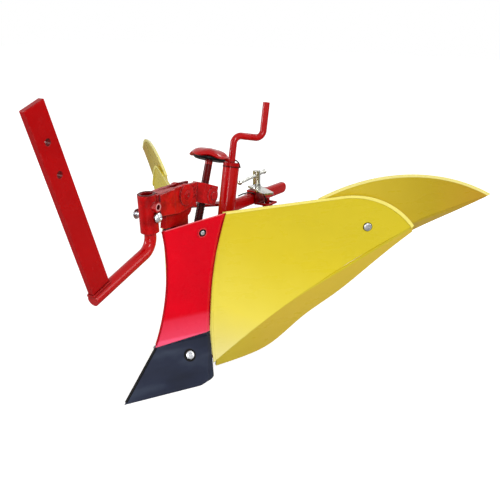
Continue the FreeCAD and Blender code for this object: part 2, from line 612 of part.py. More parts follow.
L, D = "WingLength", "WingDrop"
fall, W = val("LipDepth"), "RimWidth"
height = -0.166 * val(D)
tilt = math.asin((centre.y - height) / hollow)
WING_SEAT = Seat(Vector(0.752 * val(L), height, face(height)),
                 Vector(0, math.sin(tilt), math.cos(tilt)), 0.35)
wing = plate("WingWindow", "XY_Plane",
             [("0.004*" + L, "2"), ("0.63*" + L, "18", "0.843*" + L, "0"),
              (L, "-0.18*" + D, "0.42*" + L, "-0.582*" + D),
              ("-0.088*" + L, "-1.012*" + D, "-0.062*" + L, "-0.44*" + D)], "400")
rim = plate("WingRimWindow", "XY_Plane",
            [("0.004*" + L, "2"), ("0.63*" + L, "18", "0.843*" + L, "0"),
             (L, "-0.18*" + D), (L + "-" + W, "-0.18*%s-%s" % (D, W)),
             (L + "-1.6*" + W, "-0.18*%s" % D, "0.832*%s" % L, "-" + W),
             ("0.63*" + L, "18-" + W), ("0.004*%s+%s" % (L, W), "2-" + W,
                                        "-0.062*%s+%s" % (L, W), "-0.44*" + D),
             ("-0.088*%s+%s" % (L, W), "-1.0*" + D),
             ("-0.088*" + L, "-1.012*" + D, "-0.062*" + L, "-0.44*" + D)], "400")
wing = fuse("WingFace", common("WingSheet", shell("Wing", "0", "WingWall"), wing),
            common("WingRim", shell("Rim", "-RimRise", "RimRise+WingWall/2"), rim))
wing_lip = solid_from("WingLip", lip([(u * val(L), v * val(D), depth * fall) for u, v, depth in (
    (-0.070, -0.99, 0.24), (0.09, -0.853, 0.70), (0.24, -0.722, 1.0), (0.42, -0.586, 0.82),
    (0.60, -0.466, 0.69), (0.78, -0.339, 0.46), (1.0, -0.18, 0.20))]))
wing = cut("Wing", fuse("WingAndLip", wing, wing_lip), *WING_SEAT.drills("WingDrill", False))
wing.Placement = WING
both_hands(wing, "wing")

E = "ExtReach"
ext = plate("ExtWindow", "XY_Plane",
            [("0.35*" + E, "15.6", "0.68*" + E, "52"), (E, "1.4", "0.84*" + E, "-22.8"),
             ("0.735*" + E, "-0.139*" + D), ("0.60*" + E, "-0.253*" + D),
             ("0.345*" + E, "-0.24*" + D)], "400")
ext_rim = plate("ExtRimWindow", "XY_Plane",
                [("0.35*" + E, "15.6", "0.68*" + E, "52"), (E, "1.4"),
                 (E + "-2.4*" + W, "1.6-" + W, "0.678*" + E, "52-" + W),
                 ("0.35*%s+2*%s" % (E, W), "15.6-" + W)], "400")
ext_lip = solid_from("ExtLip", lip([(u * val(E), v * val(D), depth * fall) for u, v, depth in (
    (0.60, -0.252, 0.36), (0.74, -0.134, 0.26), (0.84, -0.078, 0.19), (0.92, -0.036, 0.12),
    (0.985, -0.002, 0.05))]))
ext_lip.Placement = local(z=-val("WingWall+ExtGap"))
ext = fuse("Extension",
           common("ExtFace", shell("Ext", "WingWall+ExtGap", "WingWall"), ext),
           common("ExtRim", shell("ExtRimSkin", "WingWall+ExtGap-RimRise*0.1",
                                  "RimRise+WingWall"), ext_rim), ext_lip)
ext = cut("ExtensionDrilled", ext, *WING_SEAT.drills("ExtDrill", False))
ext.Placement = WING
both_hands(ext, "extension")
WING_SEAT.bolt("WingBolt", "wing_bolt", val("2*WingWall+ExtGap") + 1.2, WING)

# ---------------------------------------------------------------- hinges of the wings
lugs, HINGE = [], local(-val("HingeX"), val("HingeY"), 0)
for level in ("HingeHighZ", "HingeHighZ-KnuckleHeight-LugWall-2*SideClear",
              "HingeLowZ", "HingeLowZ-KnuckleHeight-LugWall-2*SideClear"):
    for side in (1, -1):
        lug = plate("Lug", "XY_Plane",
                    [("-ShankFront-22", "%d*(ShankWall/2+WeldGap)" % side),
                     ("-HingeX+KnuckleDia/2-4", "%d*(HingeY+4)" % side),
                     ("-HingeX-KnuckleDia/2+4", "%d*(HingeY+KnuckleDia/2-1)" % side),
                     ("-HingeX-KnuckleDia/2-6", "%d*(ShankWall/2+WeldGap)" % side)],
                    "LugWall",
                    [("-HingeX", "%d*HingeY" % side, "HingePinDia")])
        lug.Placement = local(z=val(level + "+LugWall/2"))
        lugs.append(lug)
hinge_lugs = doc.addObject("Part::Compound", "HingeLugs")
hinge_lugs.Links = lugs
node(hinge_lugs, "hinge_lugs", at())

spans, knuckles = [], []
for level in ("HingeHighZ", "HingeLowZ"):
    low = val(level + "-KnuckleHeight-LugWall-2*SideClear")
    spans.append(cylinder("HingePin", "HingePinDia", "KnuckleHeight+2*LugWall+2*SideClear+6",
                          local(z=low - 4)))
    knuckles.append(cylinder("Knuckle", "KnuckleDia", "KnuckleHeight",
                             local(z=low + val("LugWall+SideClear"))))
pins = doc.addObject("Part::Compound", "HingePins")
pins.Links = spans
pins.Placement = at() * HINGE
both_hands(pins, "hinge_pins")

behind = cylinder("BehindWing", "10", "900",
                  in_wing * Placement(Vector(-18, centre.y, centre.z), Rotation(Vector(0, 1, 0), 90)))
behind.setExpression("Radius", bound(
    "(WingDrop*WingDrop/4+WingSag*WingSag)/(2*WingSag)+WingWall+ExtGap"))
straps = []
for level, knuckle, reach, front, back in (("HingeHighZ", knuckles[0], "136", "5", "27"),
                                           ("HingeLowZ", knuckles[1], "84", "-3", "15")):
    strap = plate("StrapPlate", "XY_Plane",
                  [("0", "-KnuckleDia/2+5"), ("26", front), (reach, front),
                   (reach, back + "-11"), (reach + "/2", back), ("22", back),
                   ("5", "KnuckleDia/2-1")], "LugWall")
    strap.Placement = local(-val("HingeX"), val("HingeY"),
                            val(level + "-KnuckleHeight/2-SideClear"), angle=180 - val("WingOpen"))
    strap = fuse("StrapBody", cut("StrapFitted", strap, behind),
                 cylinder("StrapKnuckle", "KnuckleDia", "KnuckleHeight",
                          HINGE * knuckle.Placement))
    straps.append(cut("Strap", strap, cylinder("StrapBore", "HingePinDia+2*RunClear", "400",
                                               HINGE)))
straps_pair = doc.addObject("Part::Compound", "Straps")
straps_pair.Links = straps
straps_pair.Placement = at()
both_hands(straps_pair, "wing_straps")
doc.recompute()

# ---------------------------------------------------------------- wing spreader
eye = local(-val("LinkEyeX"), val("LinkEyeY"), val("LinkZ"))
far = Vector(-val("SliderX"), val("SliderEyeY"), val("LinkZ")) - eye.Base
link_turn = math.degrees(math.atan2(far.y, far.x))
link = plate("LinkBar", "XY_Plane",
             [("0", "-LinkWidth/2", "-LinkWidth/2", "0"), ("0", "LinkWidth/2"),
              (str(far.Length), "LinkWidth/2", "%s+LinkWidth/2" % far.Length, "0"),
              (str(far.Length), "-LinkWidth/2")],
             "LinkWall", [("0", "0", "LinkPinDia+2*RunClear")], middle=False)
link = fuse("Link", link, cylinder("LinkPeg", "LinkPinDia", "LinkWall+14",
                                   local(far.Length, 0, 0)))
link.Placement = at() * eye * local(angle=link_turn)
both_hands(link, "link")

ear = plate("WingEar", "XY_Plane",
            [("-LinkEyeX+10", "LinkEyeY-8", "-LinkEyeX", "LinkEyeY-13"),
             ("-LinkEyeX-10", "LinkEyeY-8"), ("-LinkEyeX-30", "LinkEyeY+90"),
             ("-LinkEyeX+40", "LinkEyeY+70")], "LugWall",
            [("-LinkEyeX", "LinkEyeY", "LinkPinDia")], middle=False)
ear.Placement = local(z=val("LinkZ+LinkWall+SideClear"))
behind_ear = cylinder("BehindEar", "10", "900", behind.Placement)
behind_ear.setExpression("Radius", bound(
    "(WingDrop*WingDrop/4+WingSag*WingSag)/(2*WingSag)+WingWall+ExtGap"))
ear = cut("WingEarCut", ear, behind_ear)
ear.Placement = at()
both_hands(ear, "wing_ear")
peg = fuse("EarPeg", cylinder("EarPegShank", "LinkPinDia", "LinkWall+LugWall+SideClear+8",
                              local(z=-4)),
           cylinder("EarPegHead", "LinkPinDia+6", "4-SideClear", local(z=-4)))
peg.Placement = at() * eye
both_hands(peg, "link_pin")

half = val("TailBarWall/2+0.5")
low = val("TailBarZ-TailBarHeight/2")
shoe = cut("ShoeBox",
           block("ShoeOut", "SliderLength", "TailBarWall+1+2*SliderWall",
                 "TailBarHeight+1+SliderWall",
                 local(0, -half - val("SliderWall"), low + 0.5)),
           block("ShoeIn", "SliderLength+2", "TailBarWall+1", "TailBarHeight+0.5",
                 local(-1, -half, low)))
wings = []
for side in (1, -1):
    wings.append(plate("ShoeEar", "XY_Plane",
                       [("4", "%d*(TailBarWall/2+1)" % side),
                        ("SliderLength-4", "%d*(TailBarWall/2+1)" % side),
                        ("SliderLength-4", "%d*(SliderEyeY+13)" % side),
                        ("4", "%d*(SliderEyeY+13)" % side)], "SliderWall", middle=False))
    wings[-1].Placement = local(z=val("LinkZ+LinkWall+SideClear"))
slots = [block("ShoeSlot", "SlotLength", "LinkPinDia+8", "30",
               local(val("(SliderLength-SlotLength)/2"),
                     side * val("SliderEyeY") - val("LinkPinDia/2+4"), val("LinkZ")))
         for side in (1, -1)]
shoe = cut("Slider", fuse("ShoeAndEars", shoe, *wings), *slots,
           cylinder("ShoeTap", "BoltDia+2*BoltClear", "60", local(val("ClampX"), 0, low + 10)),
           block("ShoePath", "SliderLength+2", "TailBarWall+1", "TailBarHeight+0.5",
                 local(-1, -half, low)))
SLIDER = at(val("SliderX+SliderLength/2"))
node(shoe, "slider", SLIDER)

top = val("TailBarZ+TailBarHeight/2+1.5+SliderWall+WeldGap")
clamp = SLIDER * local(val("ClampX"), 0, top)
clamp_plate = plate("ClampPlate", "XY_Plane",
                    [("-17", "-ClampWidth/2"), ("ClampReach-4", "-ClampWidth/2"),
                     ("ClampReach", "-ClampWidth/2+4"), ("ClampReach", "ClampWidth/2-4"),
                     ("ClampReach-4", "ClampWidth/2"), ("-17", "ClampWidth/2")],
                    "4", [("0", "0", "BoltDia+2*BoltClear")], middle=False)
node(clamp_plate, "clamp_plate", clamp * local(angle=val("ClampTurn")))
spool = val("ClampTall+8")
screw = Part.makeCylinder(val("SpoolDia/2"), spool, Vector(0, 0, 4.4))
screw = screw.fuse(Part.makeCylinder(val("BoltDia/2"), 9.4, Vector(0, 0, -5))).cut(
    Part.makeCylinder(val("TommyDia/2") + 0.1, 40, Vector(-20, 0, spool - 4),
                      Vector(1, 0, -math.tan(math.radians(val("TommyTilt"))))))
node(solid_from("ClampScrew", screw), "clamp_screw", clamp)
back, front = -val("TommyBack"), val("TommyFront")
tommy = Part.makeCylinder(val("TommyDia/2"), front - back, Vector(back, 0, 0), Vector(1, 0, 0))
for end in (back, front):
    tommy = tommy.fuse(Part.makeSphere(val("TommyDia/2") + 1.5, Vector(end, 0, 0)))
node(solid_from("TommyBar", tommy), "t_handle",
     clamp * local(0, 0, spool - 4 + 20 * -math.tan(math.radians(val("TommyTilt"))),
                   (0, 1, 0), val("TommyTilt")))

# ---------------------------------------------------------------- check and write
os.makedirs("parts", exist_ok=True)
doc.recompute()
for obj in doc.Objects:
    bad = {"Invalid", "Error"} & set(obj.State)
    if bad:
        raise RuntimeError("%s (%s) is %s" % (obj.Name, obj.Label, bad))
for piece in PIECES:
    shape = piece.Shape
    if shape.isNull() or not shape.isValid() or not shape.Solids:
        raise RuntimeError("%s has no sound solid" % piece.Label)
for piece in PIECES:
    piece.Shape.exportStep(os.path.join("parts", piece.Label + ".step"))
    print("%-16s %2d solid(s) %10.0f mm3" % (piece.Label, len(piece.Shape.Solids),
                                             piece.Shape.Volume))
box = Part.makeCompound([p.Shape for p in PIECES]).BoundBox
print("box", box)
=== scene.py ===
import json
import math

import bmesh
import bpy
import numpy as np
from bpy.props import FloatProperty, FloatVectorProperty, IntProperty, PointerProperty
from mathutils import Matrix, Vector

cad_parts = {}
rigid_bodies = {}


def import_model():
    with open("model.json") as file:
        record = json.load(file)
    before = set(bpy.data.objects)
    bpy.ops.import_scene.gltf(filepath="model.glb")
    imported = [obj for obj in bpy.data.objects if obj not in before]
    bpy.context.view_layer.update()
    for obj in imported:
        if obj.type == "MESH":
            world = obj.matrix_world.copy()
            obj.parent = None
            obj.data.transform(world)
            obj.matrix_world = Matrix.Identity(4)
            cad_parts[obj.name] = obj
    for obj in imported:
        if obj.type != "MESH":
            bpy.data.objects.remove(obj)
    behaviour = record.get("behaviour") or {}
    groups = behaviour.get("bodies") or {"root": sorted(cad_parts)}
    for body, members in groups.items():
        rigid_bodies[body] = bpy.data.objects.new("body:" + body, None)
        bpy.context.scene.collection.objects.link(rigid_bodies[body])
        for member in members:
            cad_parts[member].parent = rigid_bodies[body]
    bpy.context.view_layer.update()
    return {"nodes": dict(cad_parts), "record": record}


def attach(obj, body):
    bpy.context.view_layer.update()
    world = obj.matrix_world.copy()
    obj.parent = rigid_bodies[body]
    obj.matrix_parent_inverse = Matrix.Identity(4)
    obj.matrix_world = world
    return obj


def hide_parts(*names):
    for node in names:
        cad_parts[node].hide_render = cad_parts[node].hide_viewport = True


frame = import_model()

bl_info = {
    "name": "Ridger Workshop",
    "version": (1, 0, 0),
    "blender": (4, 5, 0),
    "location": "3D View > Sidebar > Ridger",
    "description": "Paint, hardware and studio for a rear ridger",
    "category": "Object",
}

HANDS = (("left", 1), ("right", -1))
COLOUR = dict(subtype="COLOR", size=3, min=0.0, max=1.0)

# The left wing's sheet lies on a hollow cylinder: its upper front corner, the way it runs,
# the way up its face, and the cylinder's axis and radius, in metres.
WING_CORNER = (-0.020556, 0.059, 0.316)
WING_ALONG = (-0.663634, 0.747469, 0.029666)
WING_UP = (-0.113039, -0.139405, 0.983762)
WING_AXIS = (0.307097, 0.352548, 0.249378)
WING_HOLLOW = 0.459158
# How far the rim stands in from the wing's face, and how far out from it the turned-in lips of
# the wing and of the extension behind it begin.
RIM_PROUD, WING_LIP, EXTENSION_LIP = 0.0015, 0.0043, 0.0088
# Three points (along, up) on the crown of an extension, and the depth of the band along it that is
# painted bright as a highlight.
EXTENSION_CROWN = ((0.1897, 0.0156), (0.36856, 0.052), (0.542, 0.0014))
CROWN_HIGHLIGHT_BAND = 0.0062
# Shares of a paler pink painted low on the breast as the floor's reflection, by height in metres.
BREAST_FLOOR_REFLECTION = ((0.0874, 1.0), (0.0880, 0.52), (0.121, 0.22), (0.127, 0.0))


def srgb(*levels):
    """A colour written as 0-255 values, as scene-linear numbers."""
    return tuple(c / 12.92 if c <= 0.04045 else ((c + 0.055) / 1.055) ** 2.4
                 for c in (level / 255.0 for level in levels))


# ---- settings
class RidgerColours(bpy.types.PropertyGroup):
    frame_red: FloatVectorProperty(
        name="Frame Red", description="Gloss paint on the frame, head and stay",
        default=srgb(172, 3, 6), **COLOUR)
    breast_red: FloatVectorProperty(
        name="Breast Red", description="Brighter gloss paint on the breast",
        default=srgb(217, 1, 26), **COLOUR)
    share_navy: FloatVectorProperty(
        name="Share Navy", description="Dark paint on the share",
        default=srgb(30, 36, 55), **COLOUR)
    wing_yellow: FloatVectorProperty(
        name="Wing Yellow", description="Moulded colour of the wings",
        default=srgb(218, 197, 34), **COLOUR)
    # Painted shade: this yellow is deeper than the wings' to stand for the shade under the
    # extensions' overhang.
    extension_yellow: FloatVectorProperty(
        name="Extension Yellow", description="Deeper yellow of the wing extensions",
        default=srgb(184, 158, 24), **COLOUR)
    # Painted highlight: the pale yellow of the raised rims of the wings and extensions stands for
    # the light they catch.
    rim_yellow: FloatVectorProperty(
        name="Rim Highlight Yellow", description="Pale yellow painted on the raised rims as their highlight",
        default=srgb(240, 228, 136), **COLOUR)
    zinc_grey: FloatVectorProperty(
        name="Zinc Grey", description="Plated clamp hardware",
        default=srgb(214, 214, 206), **COLOUR)
    bolt_grey: FloatVectorProperty(
        name="Bolt Grey", description="Plated bolt heads and pins",
        default=srgb(206, 208, 212), **COLOUR)
    # Also painted shade: the knob's underside, the rings round bolt heads and the share's nose take
    # this near-black.
    wire_black: FloatVectorProperty(
        name="Wire And Shade Black", description="Oiled steel wire and pins",
        default=srgb(10, 10, 11), **COLOUR)


class RidgerSizes(bpy.types.PropertyGroup):
    bead_width: FloatProperty(
        name="Bead Width", description="Width of a weld bead", default=0.0056,
        min=0.001, unit="LENGTH")
    bead_pitch: FloatProperty(
        name="Bead Pitch", description="Distance between the ripples of a weld",
        default=0.0024, min=0.0005, unit="LENGTH")
    thread_pitch: FloatProperty(
        name="Thread Pitch", description="Pitch of the screw threads", default=0.003,
        min=0.0005, unit="LENGTH")
    thread_ridge: FloatProperty(
        name="Thread Ridge", description="Radius of the rounded crest of a thread",
        default=0.0009, min=0.0001, unit="LENGTH")
    wire_width: FloatProperty(
        name="Wire Width", description="Diameter of the retaining wire", default=0.0028,
        min=0.0005, unit="LENGTH")
    knob_lobes: IntProperty(
        name="Knob Lobes", description="Lobes round the adjusting knob", default=5, min=3)


class RidgerStudio(bpy.types.PropertyGroup):
    key_power: FloatProperty(
        name="Key Light", description="Power of the soft key light", default=29.0,
        min=0.0, unit="POWER")
    fill_power: FloatProperty(
        name="Fill Light", description="Power of the fill light", default=26.0,
        min=0.0, unit="POWER")
    strip_power: FloatProperty(
        name="Strip Light", description="Power of the upright strip that streaks the tubes",
        default=9.0, min=0.0, unit="POWER")
    rim_power: FloatProperty(
        name="Rim Light", description="Power of the light from behind", default=14.0,
        min=0.0, unit="POWER")
    world_light: FloatProperty(
        name="Room Light", description="Strength of the white room around the part",
        default=0.17, min=0.0, max=2.0)
    floor_size: FloatProperty(
        name="Floor Size", description="Side of the floor", default=14.0, min=2.0, unit="LENGTH")


# ---- wiring of nodes
class Wiring:
    """A short way to add and link nodes.

    A source is a number, a vector or colour of three numbers, a node, for its first output, or
    a pair of a node and the name or number of its output.
    """

    def __init__(self, tree):
        self.tree = tree

    def feed(self, source, node, entry):
        """Gives a source to an input of a node."""
        socket = node.inputs[entry]
        if isinstance(source, (int, float)):
            socket.default_value = source
        elif isinstance(source, tuple) and len(source) == 3:
            socket.default_value = (*source, 1.0) if socket.type == "RGBA" else source
        else:
            giver, output = source if isinstance(source, tuple) else (source, 0)
            self.tree.links.new(giver.outputs[output], socket)

    def add(self, kind, *sources, **settings):
        """A node: sources feed its first inputs, and settings name an input or a property."""
        node = self.tree.nodes.new(kind)
        for key, value in settings.items():
            if key in node.inputs:
                self.feed(value, node, key)
            else:
                setattr(node, key, value)
        for entry, source in enumerate(sources):
            self.feed(source, node, entry)
        return node

    def maths(self, operation, *sources):
        return self.add("ShaderNodeMath", *sources, operation=operation)

    def times(self, *sources):
        return self.maths("MULTIPLY", *sources)

    def vector(self, operation, *sources):
        node = self.add("ShaderNodeVectorMath", *sources, operation=operation)
        return (node, "Value") if operation in ("DOT_PRODUCT", "LENGTH") else node


# ---- materials
class Finish(Wiring):
    """A material in the making."""

    def __init__(self, name):
        self.material = bpy.data.materials.new(name)
        self.material.use_nodes = True
        super().__init__(self.material.node_tree)
        self.tree.nodes.clear()
        self.shader = self.add("ShaderNodeBsdfPrincipled")
        self.out = self.add("ShaderNodeOutputMaterial", Surface=self.shader)

    def place(self):
        return self.add("ShaderNodeTexCoord"), "Object"

    def noise(self, scale, detail, rough, squeeze=(1, 1, 1)):
        """Noise on Object coordinates, stretched where squeeze is small."""
        turn = self.add("ShaderNodeMapping", Vector=self.place(), Scale=squeeze)
        return self.add("ShaderNodeTexNoise", Vector=turn, Scale=scale, Detail=detail,
                        Roughness=rough)

    def ramp(self, source, *stops):
        """A colour ramp; stops are pairs of a position and a grey or a colour."""
        node = self.add("ShaderNodeValToRGB", source)
        ends = node.color_ramp.elements
        while len(ends) < len(stops):
            ends.new(0.5)
        for end, (position, colour) in zip(ends, stops):
            end.position = position
            if isinstance(colour, (int, float)):
                colour = (colour,) * 3
            end.color = (*colour, 1.0)
        return node

    def blend(self, factor, a, b, kind="MIX"):
        """A mix of two colours."""
        node = self.add("ShaderNodeMix", data_type="RGBA", blend_type=kind)
        for entry, source in ((0, factor), (6, a), (7, b)):
            self.feed(source, node, entry)
        return node, 2

    def step(self, source, low, high):
        """0 below low, 1 above high; low may be the larger for a falling step."""
        return self.add("ShaderNodeMapRange", interpolation_type="SMOOTHSTEP", Value=source, **{
            "From Min": min(low, high), "From Max": max(low, high),
            "To Min": float(low > high), "To Max": float(low < high)})

    def soft(self, radius):
        """Normals that round the edges off."""
        return self.add("ShaderNodeBevel", samples=4, Radius=radius)

    def bump(self, source, strength, depth, **under):
        return self.add("ShaderNodeBump", Height=source, Strength=strength, Distance=depth,
                        **under)

    def edge_wear_and_highlight(self, soft, grain, clean, bare, share):
        """How pale the sharp edges turn, partly worn and partly painted highlight, in flecks of the
        grain between its clean and its palest level.
        """
        flat = self.add("ShaderNodeNewGeometry"), "Normal"
        away = self.add("ShaderNodeMapRange", Value=self.vector("DOT_PRODUCT", soft, flat),
                        **{"From Min": 0.995, "From Max": 0.8})
        flecks = self.ramp(grain, (clean, 0.0), (bare, 1.0))
        return self.times(self.times(away, flecks), share)

    def sheen(self, grain, low, high, stop=0.75):
        """Roughness that drifts from low to high."""
        self.feed(self.ramp(grain, (0.3, low), (stop, high)), self.shader, "Roughness")

    def done(self, colour, normal, specular=0.5):
        for source, entry in ((colour, "Base Color"), (normal, "Normal"),
                              (specular, "Specular IOR Level")):
            self.feed(source, self.shader, entry)
        return self.material

    def wing_place(self):
        """Distances along and up a wing's face from its upper front corner, and from its axis."""
        split = self.add("ShaderNodeSeparateXYZ", self.place())
        here = self.add("ShaderNodeCombineXYZ", (split, "X"),
                        self.maths("ABSOLUTE", (split, "Y")), (split, "Z"))
        out = self.vector("SUBTRACT", here, WING_CORNER)
        square = self.vector("CROSS_PRODUCT", self.vector("SUBTRACT", here, WING_AXIS), WING_ALONG)
        return (self.vector("DOT_PRODUCT", out, WING_ALONG),
                self.vector("DOT_PRODUCT", out, WING_UP), self.vector("LENGTH", square))


def shade(colour, factor):
    return tuple(min(1.0, c * factor) for c in colour)


def mixed(colour, other, t):
    return tuple(a * (1 - t) + b * t for a, b in zip(colour, other))


def gloss_paint(name, colour, edge=0.0012, rough=(0.20, 0.32), chip=0.25, peel=0.12,
                fleck=(0.46, 0.66), bare=(0.9, 0.8, 0.8), fade=None, cast=None, gloss=0.10):
    """Sprayed enamel: soft orange peel, edges paled by wear and painted highlight, and painted
    shade in the corners.

    edge is the width of the edges, and another argument how pale they turn with wear and painted
    highlight; the painted reflection of the floor comes as shares of a paler colour by height, and
    that colour; cast is the scale and strength of a cast skin.
    """
    n = Finish(name)
    if cast:
        body = n.ramp(n.noise(cast[0] * 0.5, 4.0, 0.6),
                      (0.34, shade(colour, 0.50)), (0.58, shade(colour, 1.06)))
    else:
        body = n.ramp(n.noise(9.0, 4.0, 0.55),
                      (0.30, shade(colour, 0.86)), (0.72, shade(colour, 1.08)))
    # Painted reflection: a paler colour blended in by height, as the floor's reflection on the
    # breast.
    if fade:
        height = n.add("ShaderNodeSeparateXYZ", n.place()), "Z"
        body = n.blend(n.ramp(height, *fade[0]), body, fade[1])
    # Painted shade: ambient occlusion darkens the paint in corners and between parts.
    corner_probe = n.add("ShaderNodeAmbientOcclusion", samples=6, Distance=0.030)
    corner_shade = n.ramp((corner_probe, "AO"), (0.20, (0.10, 0.03, 0.03)), (0.88, 1.0))
    soft = n.soft(edge)
    # Edges paled partly by wear and partly by painted highlight.
    worn = n.edge_wear_and_highlight(soft, n.noise(140.0, 5.0, 0.65), *fleck, chip)
    coat = n.blend(worn, n.blend(1.0, body, corner_shade, "MULTIPLY"), mixed(colour, bare, 0.42))
    n.sheen(n.noise(26.0, 4.0, 0.6), *rough)
    ripple = n.bump(n.noise(420.0, 2.0, 0.5), peel, 0.0004, Normal=soft)
    if cast:
        ripple = n.bump(n.noise(cast[0], 5.0, 0.6), cast[1], 0.0022, Normal=ripple)
    return n.done(coat, ripple, gloss)


def share_paint(name, colour):
    """Dark paint on forged steel, rougher, with pale edges that are partly scuffs and partly
    painted highlight.
    """
    n = Finish(name)
    tone = n.ramp(n.noise(9.0, 3.0, 0.5, (0.7, 0.7, 2.2)),
                  (0.30, shade(colour, 0.55)), (0.50, colour),
                  (0.72, mixed(shade(colour, 1.9), (0.07, 0.09, 0.11), 0.4)))
    soft = n.soft(0.0022)
    # Pale edges: partly scuffs, partly painted highlight.
    scuffs_and_highlight = n.edge_wear_and_highlight(soft, n.noise(90.0, 6.0, 0.7), 0.44, 0.62, 0.35)
    n.sheen(n.noise(34.0, 5.0, 0.6), 0.34, 0.52)
    forged = n.bump(n.noise(230.0, 4.0, 0.6), 0.22, 0.0006, Normal=soft)
    return n.done(n.blend(scuffs_and_highlight, tone, (0.36, 0.38, 0.43)), forged, 0.14)


def ring_through(a, b, c):
    """Centre and radius of the circle through three points."""
    (ax, ay), (bx, by), (cx, cy) = a, b, c
    d = 2 * (ax * (by - cy) + bx * (cy - ay) + cx * (ay - by))
    aa, bb, cc = ax * ax + ay * ay, bx * bx + by * by, cx * cx + cy * cy
    x = (aa * (by - cy) + bb * (cy - ay) + cc * (ay - by)) / d
    y = (aa * (cx - bx) + bb * (ax - cx) + cc * (bx - ax)) / d
    return (x, y), math.hypot(ax - x, ay - y)


def polymer(n, colour, rim, highlight_mask):
    """The moulded sheets' shared finish: body colour, a rim painted bright as its highlight, flow
    marks and fine skin.
    """
    n.sheen(n.noise(14.0, 5.0, 0.6, (1, 1, 3)), 0.24, 0.36)
    skin = n.bump(n.noise(520.0, 2.0, 0.5), 0.08, 0.0003, Normal=n.soft(0.0012))
    return n.done(n.blend(highlight_mask, colour, rim), skin, 0.30)


def wing_polymer(name, colour, rim):
    """Wing sheet: paler low and forward, deeper up and back, with painted shade in ochre on the
    turned-in lip.
    """
    n = Finish(name)
    run, rise, spoke = n.wing_place()
    slope = n.maths("SUBTRACT", n.times(rise, -2.5), n.times(run, 1.35))
    level = n.maths("ADD", slope, n.times(n.noise(6.0, 4.0, 0.55), 0.30))
    tone = n.ramp(level, (0.0, shade(colour, 0.93)), (0.22, colour),
                  (0.62, mixed(colour, (0.86, 0.75, 0.09), 0.6)),
                  (0.90, shade(mixed(colour, (0.90, 0.80, 0.22), 0.85), 0.80)))
    # Painted shade: the downward-facing turned-in lip is painted a darker ochre.
    lip_shade_ochre = n.ramp(run, (0.0, (0.65, 0.51, 0.034)), (0.08, (0.69, 0.495, 0.038)))
    lip = n.step(spoke, WING_HOLLOW + WING_LIP, WING_HOLLOW + WING_LIP + 0.0007)
    # Painted highlight: the raised rim along the top and back of the wing takes the pale rim
    # colour.
    proud = n.step(spoke, WING_HOLLOW - RIM_PROUD * 0.35, WING_HOLLOW - RIM_PROUD * 0.7)
    crown = n.maths("MAXIMUM", n.step(run, 0.27, 0.31), n.step(rise, -0.020, -0.006))
    return polymer(n, n.blend(lip, tone, lip_shade_ochre), mixed(rim, (0.96, 0.84, 0.09), 0.45),
                   n.times(proud, crown))


def extension_polymer(name, colour, rim):
    """Extension sheet: deeper towards its tip, with a band along its crown painted bright as a
    highlight, and painted shade on its turned-in lip.
    """
    n = Finish(name)
    run, rise, spoke = n.wing_place()
    level = n.maths("ADD", run, n.times(n.noise(7.0, 4.0, 0.55), 0.05))
    tone = n.ramp(level, (0.30, mixed(colour, (0.72, 0.56, 0.04), 0.45)), (0.44, colour),
                  (0.545, mixed(colour, (0.50, 0.27, 0.015), 0.75)))
    (x, y), reach = ring_through(*EXTENSION_CROWN)
    across, above = n.maths("SUBTRACT", run, x), n.maths("SUBTRACT", rise, y)
    square = n.maths("ADD", n.times(across, across), n.times(above, above))
    # Painted highlight: a band along the extension's crown takes the pale rim colour.
    highlight_band = n.step(n.maths("SQRT", square), reach - CROWN_HIGHLIGHT_BAND, reach - CROWN_HIGHLIGHT_BAND + 0.0012)
    # Painted shade: the extension's turned-in lip is painted a darker brown.
    lip = n.step(spoke, WING_HOLLOW + EXTENSION_LIP, WING_HOLLOW + EXTENSION_LIP + 0.0008)
    return polymer(n, n.blend(lip, tone, shade((0.56, 0.38, 0.05), 0.80)), rim, highlight_band)


def plated(name, colour, rough=(0.16, 0.34)):
    """Zinc-plated steel with fine drawing lines and a cloudy passivation."""
    n = Finish(name)
    tone = n.ramp(n.noise(70.0, 5.0, 0.6), (0.30, shade(colour, 0.66)), (0.72, shade(colour, 1.12)))
    n.feed(1.0, n.shader, "Metallic")
    n.sheen(n.noise(240.0, 5.0, 0.7), *rough)
    drawn = n.noise(900.0, 2.0, 0.5, (1, 1, 0.2))
    return n.done(tone, n.bump(drawn, 0.2, 0.0003, Normal=n.soft(0.0006)))


def oiled_wire_and_shade(name, colour):
    """Dark drawn wire with a faint oil film; the same near-black also paints shade under the knob,
    round bolt heads and down the share's nose.
    """
    n = Finish(name)
    tone = n.ramp(n.noise(120.0, 4.0, 0.6), (0.3, shade(colour, 0.6)), (0.7, colour))
    n.sheen(n.noise(300.0, 3.0, 0.5), 0.3, 0.5, 0.7)
    return n.done(tone, n.bump(n.noise(1400.0, 2.0, 0.5), 0.15, 0.0002), 0.12)


def enamel(name, base, factor=1.0, worn=None, **look):
    """A maker of gloss paint from a red setting, times a factor, which for the nose and the shadow
    red paints shade, or mixed with a paler colour of painted highlight and its share.
    """
    def make(colours):
        colour = shade(getattr(colours, base), factor)
        return gloss_paint(name, mixed(colour, *worn) if worn else colour, **look)
    return make


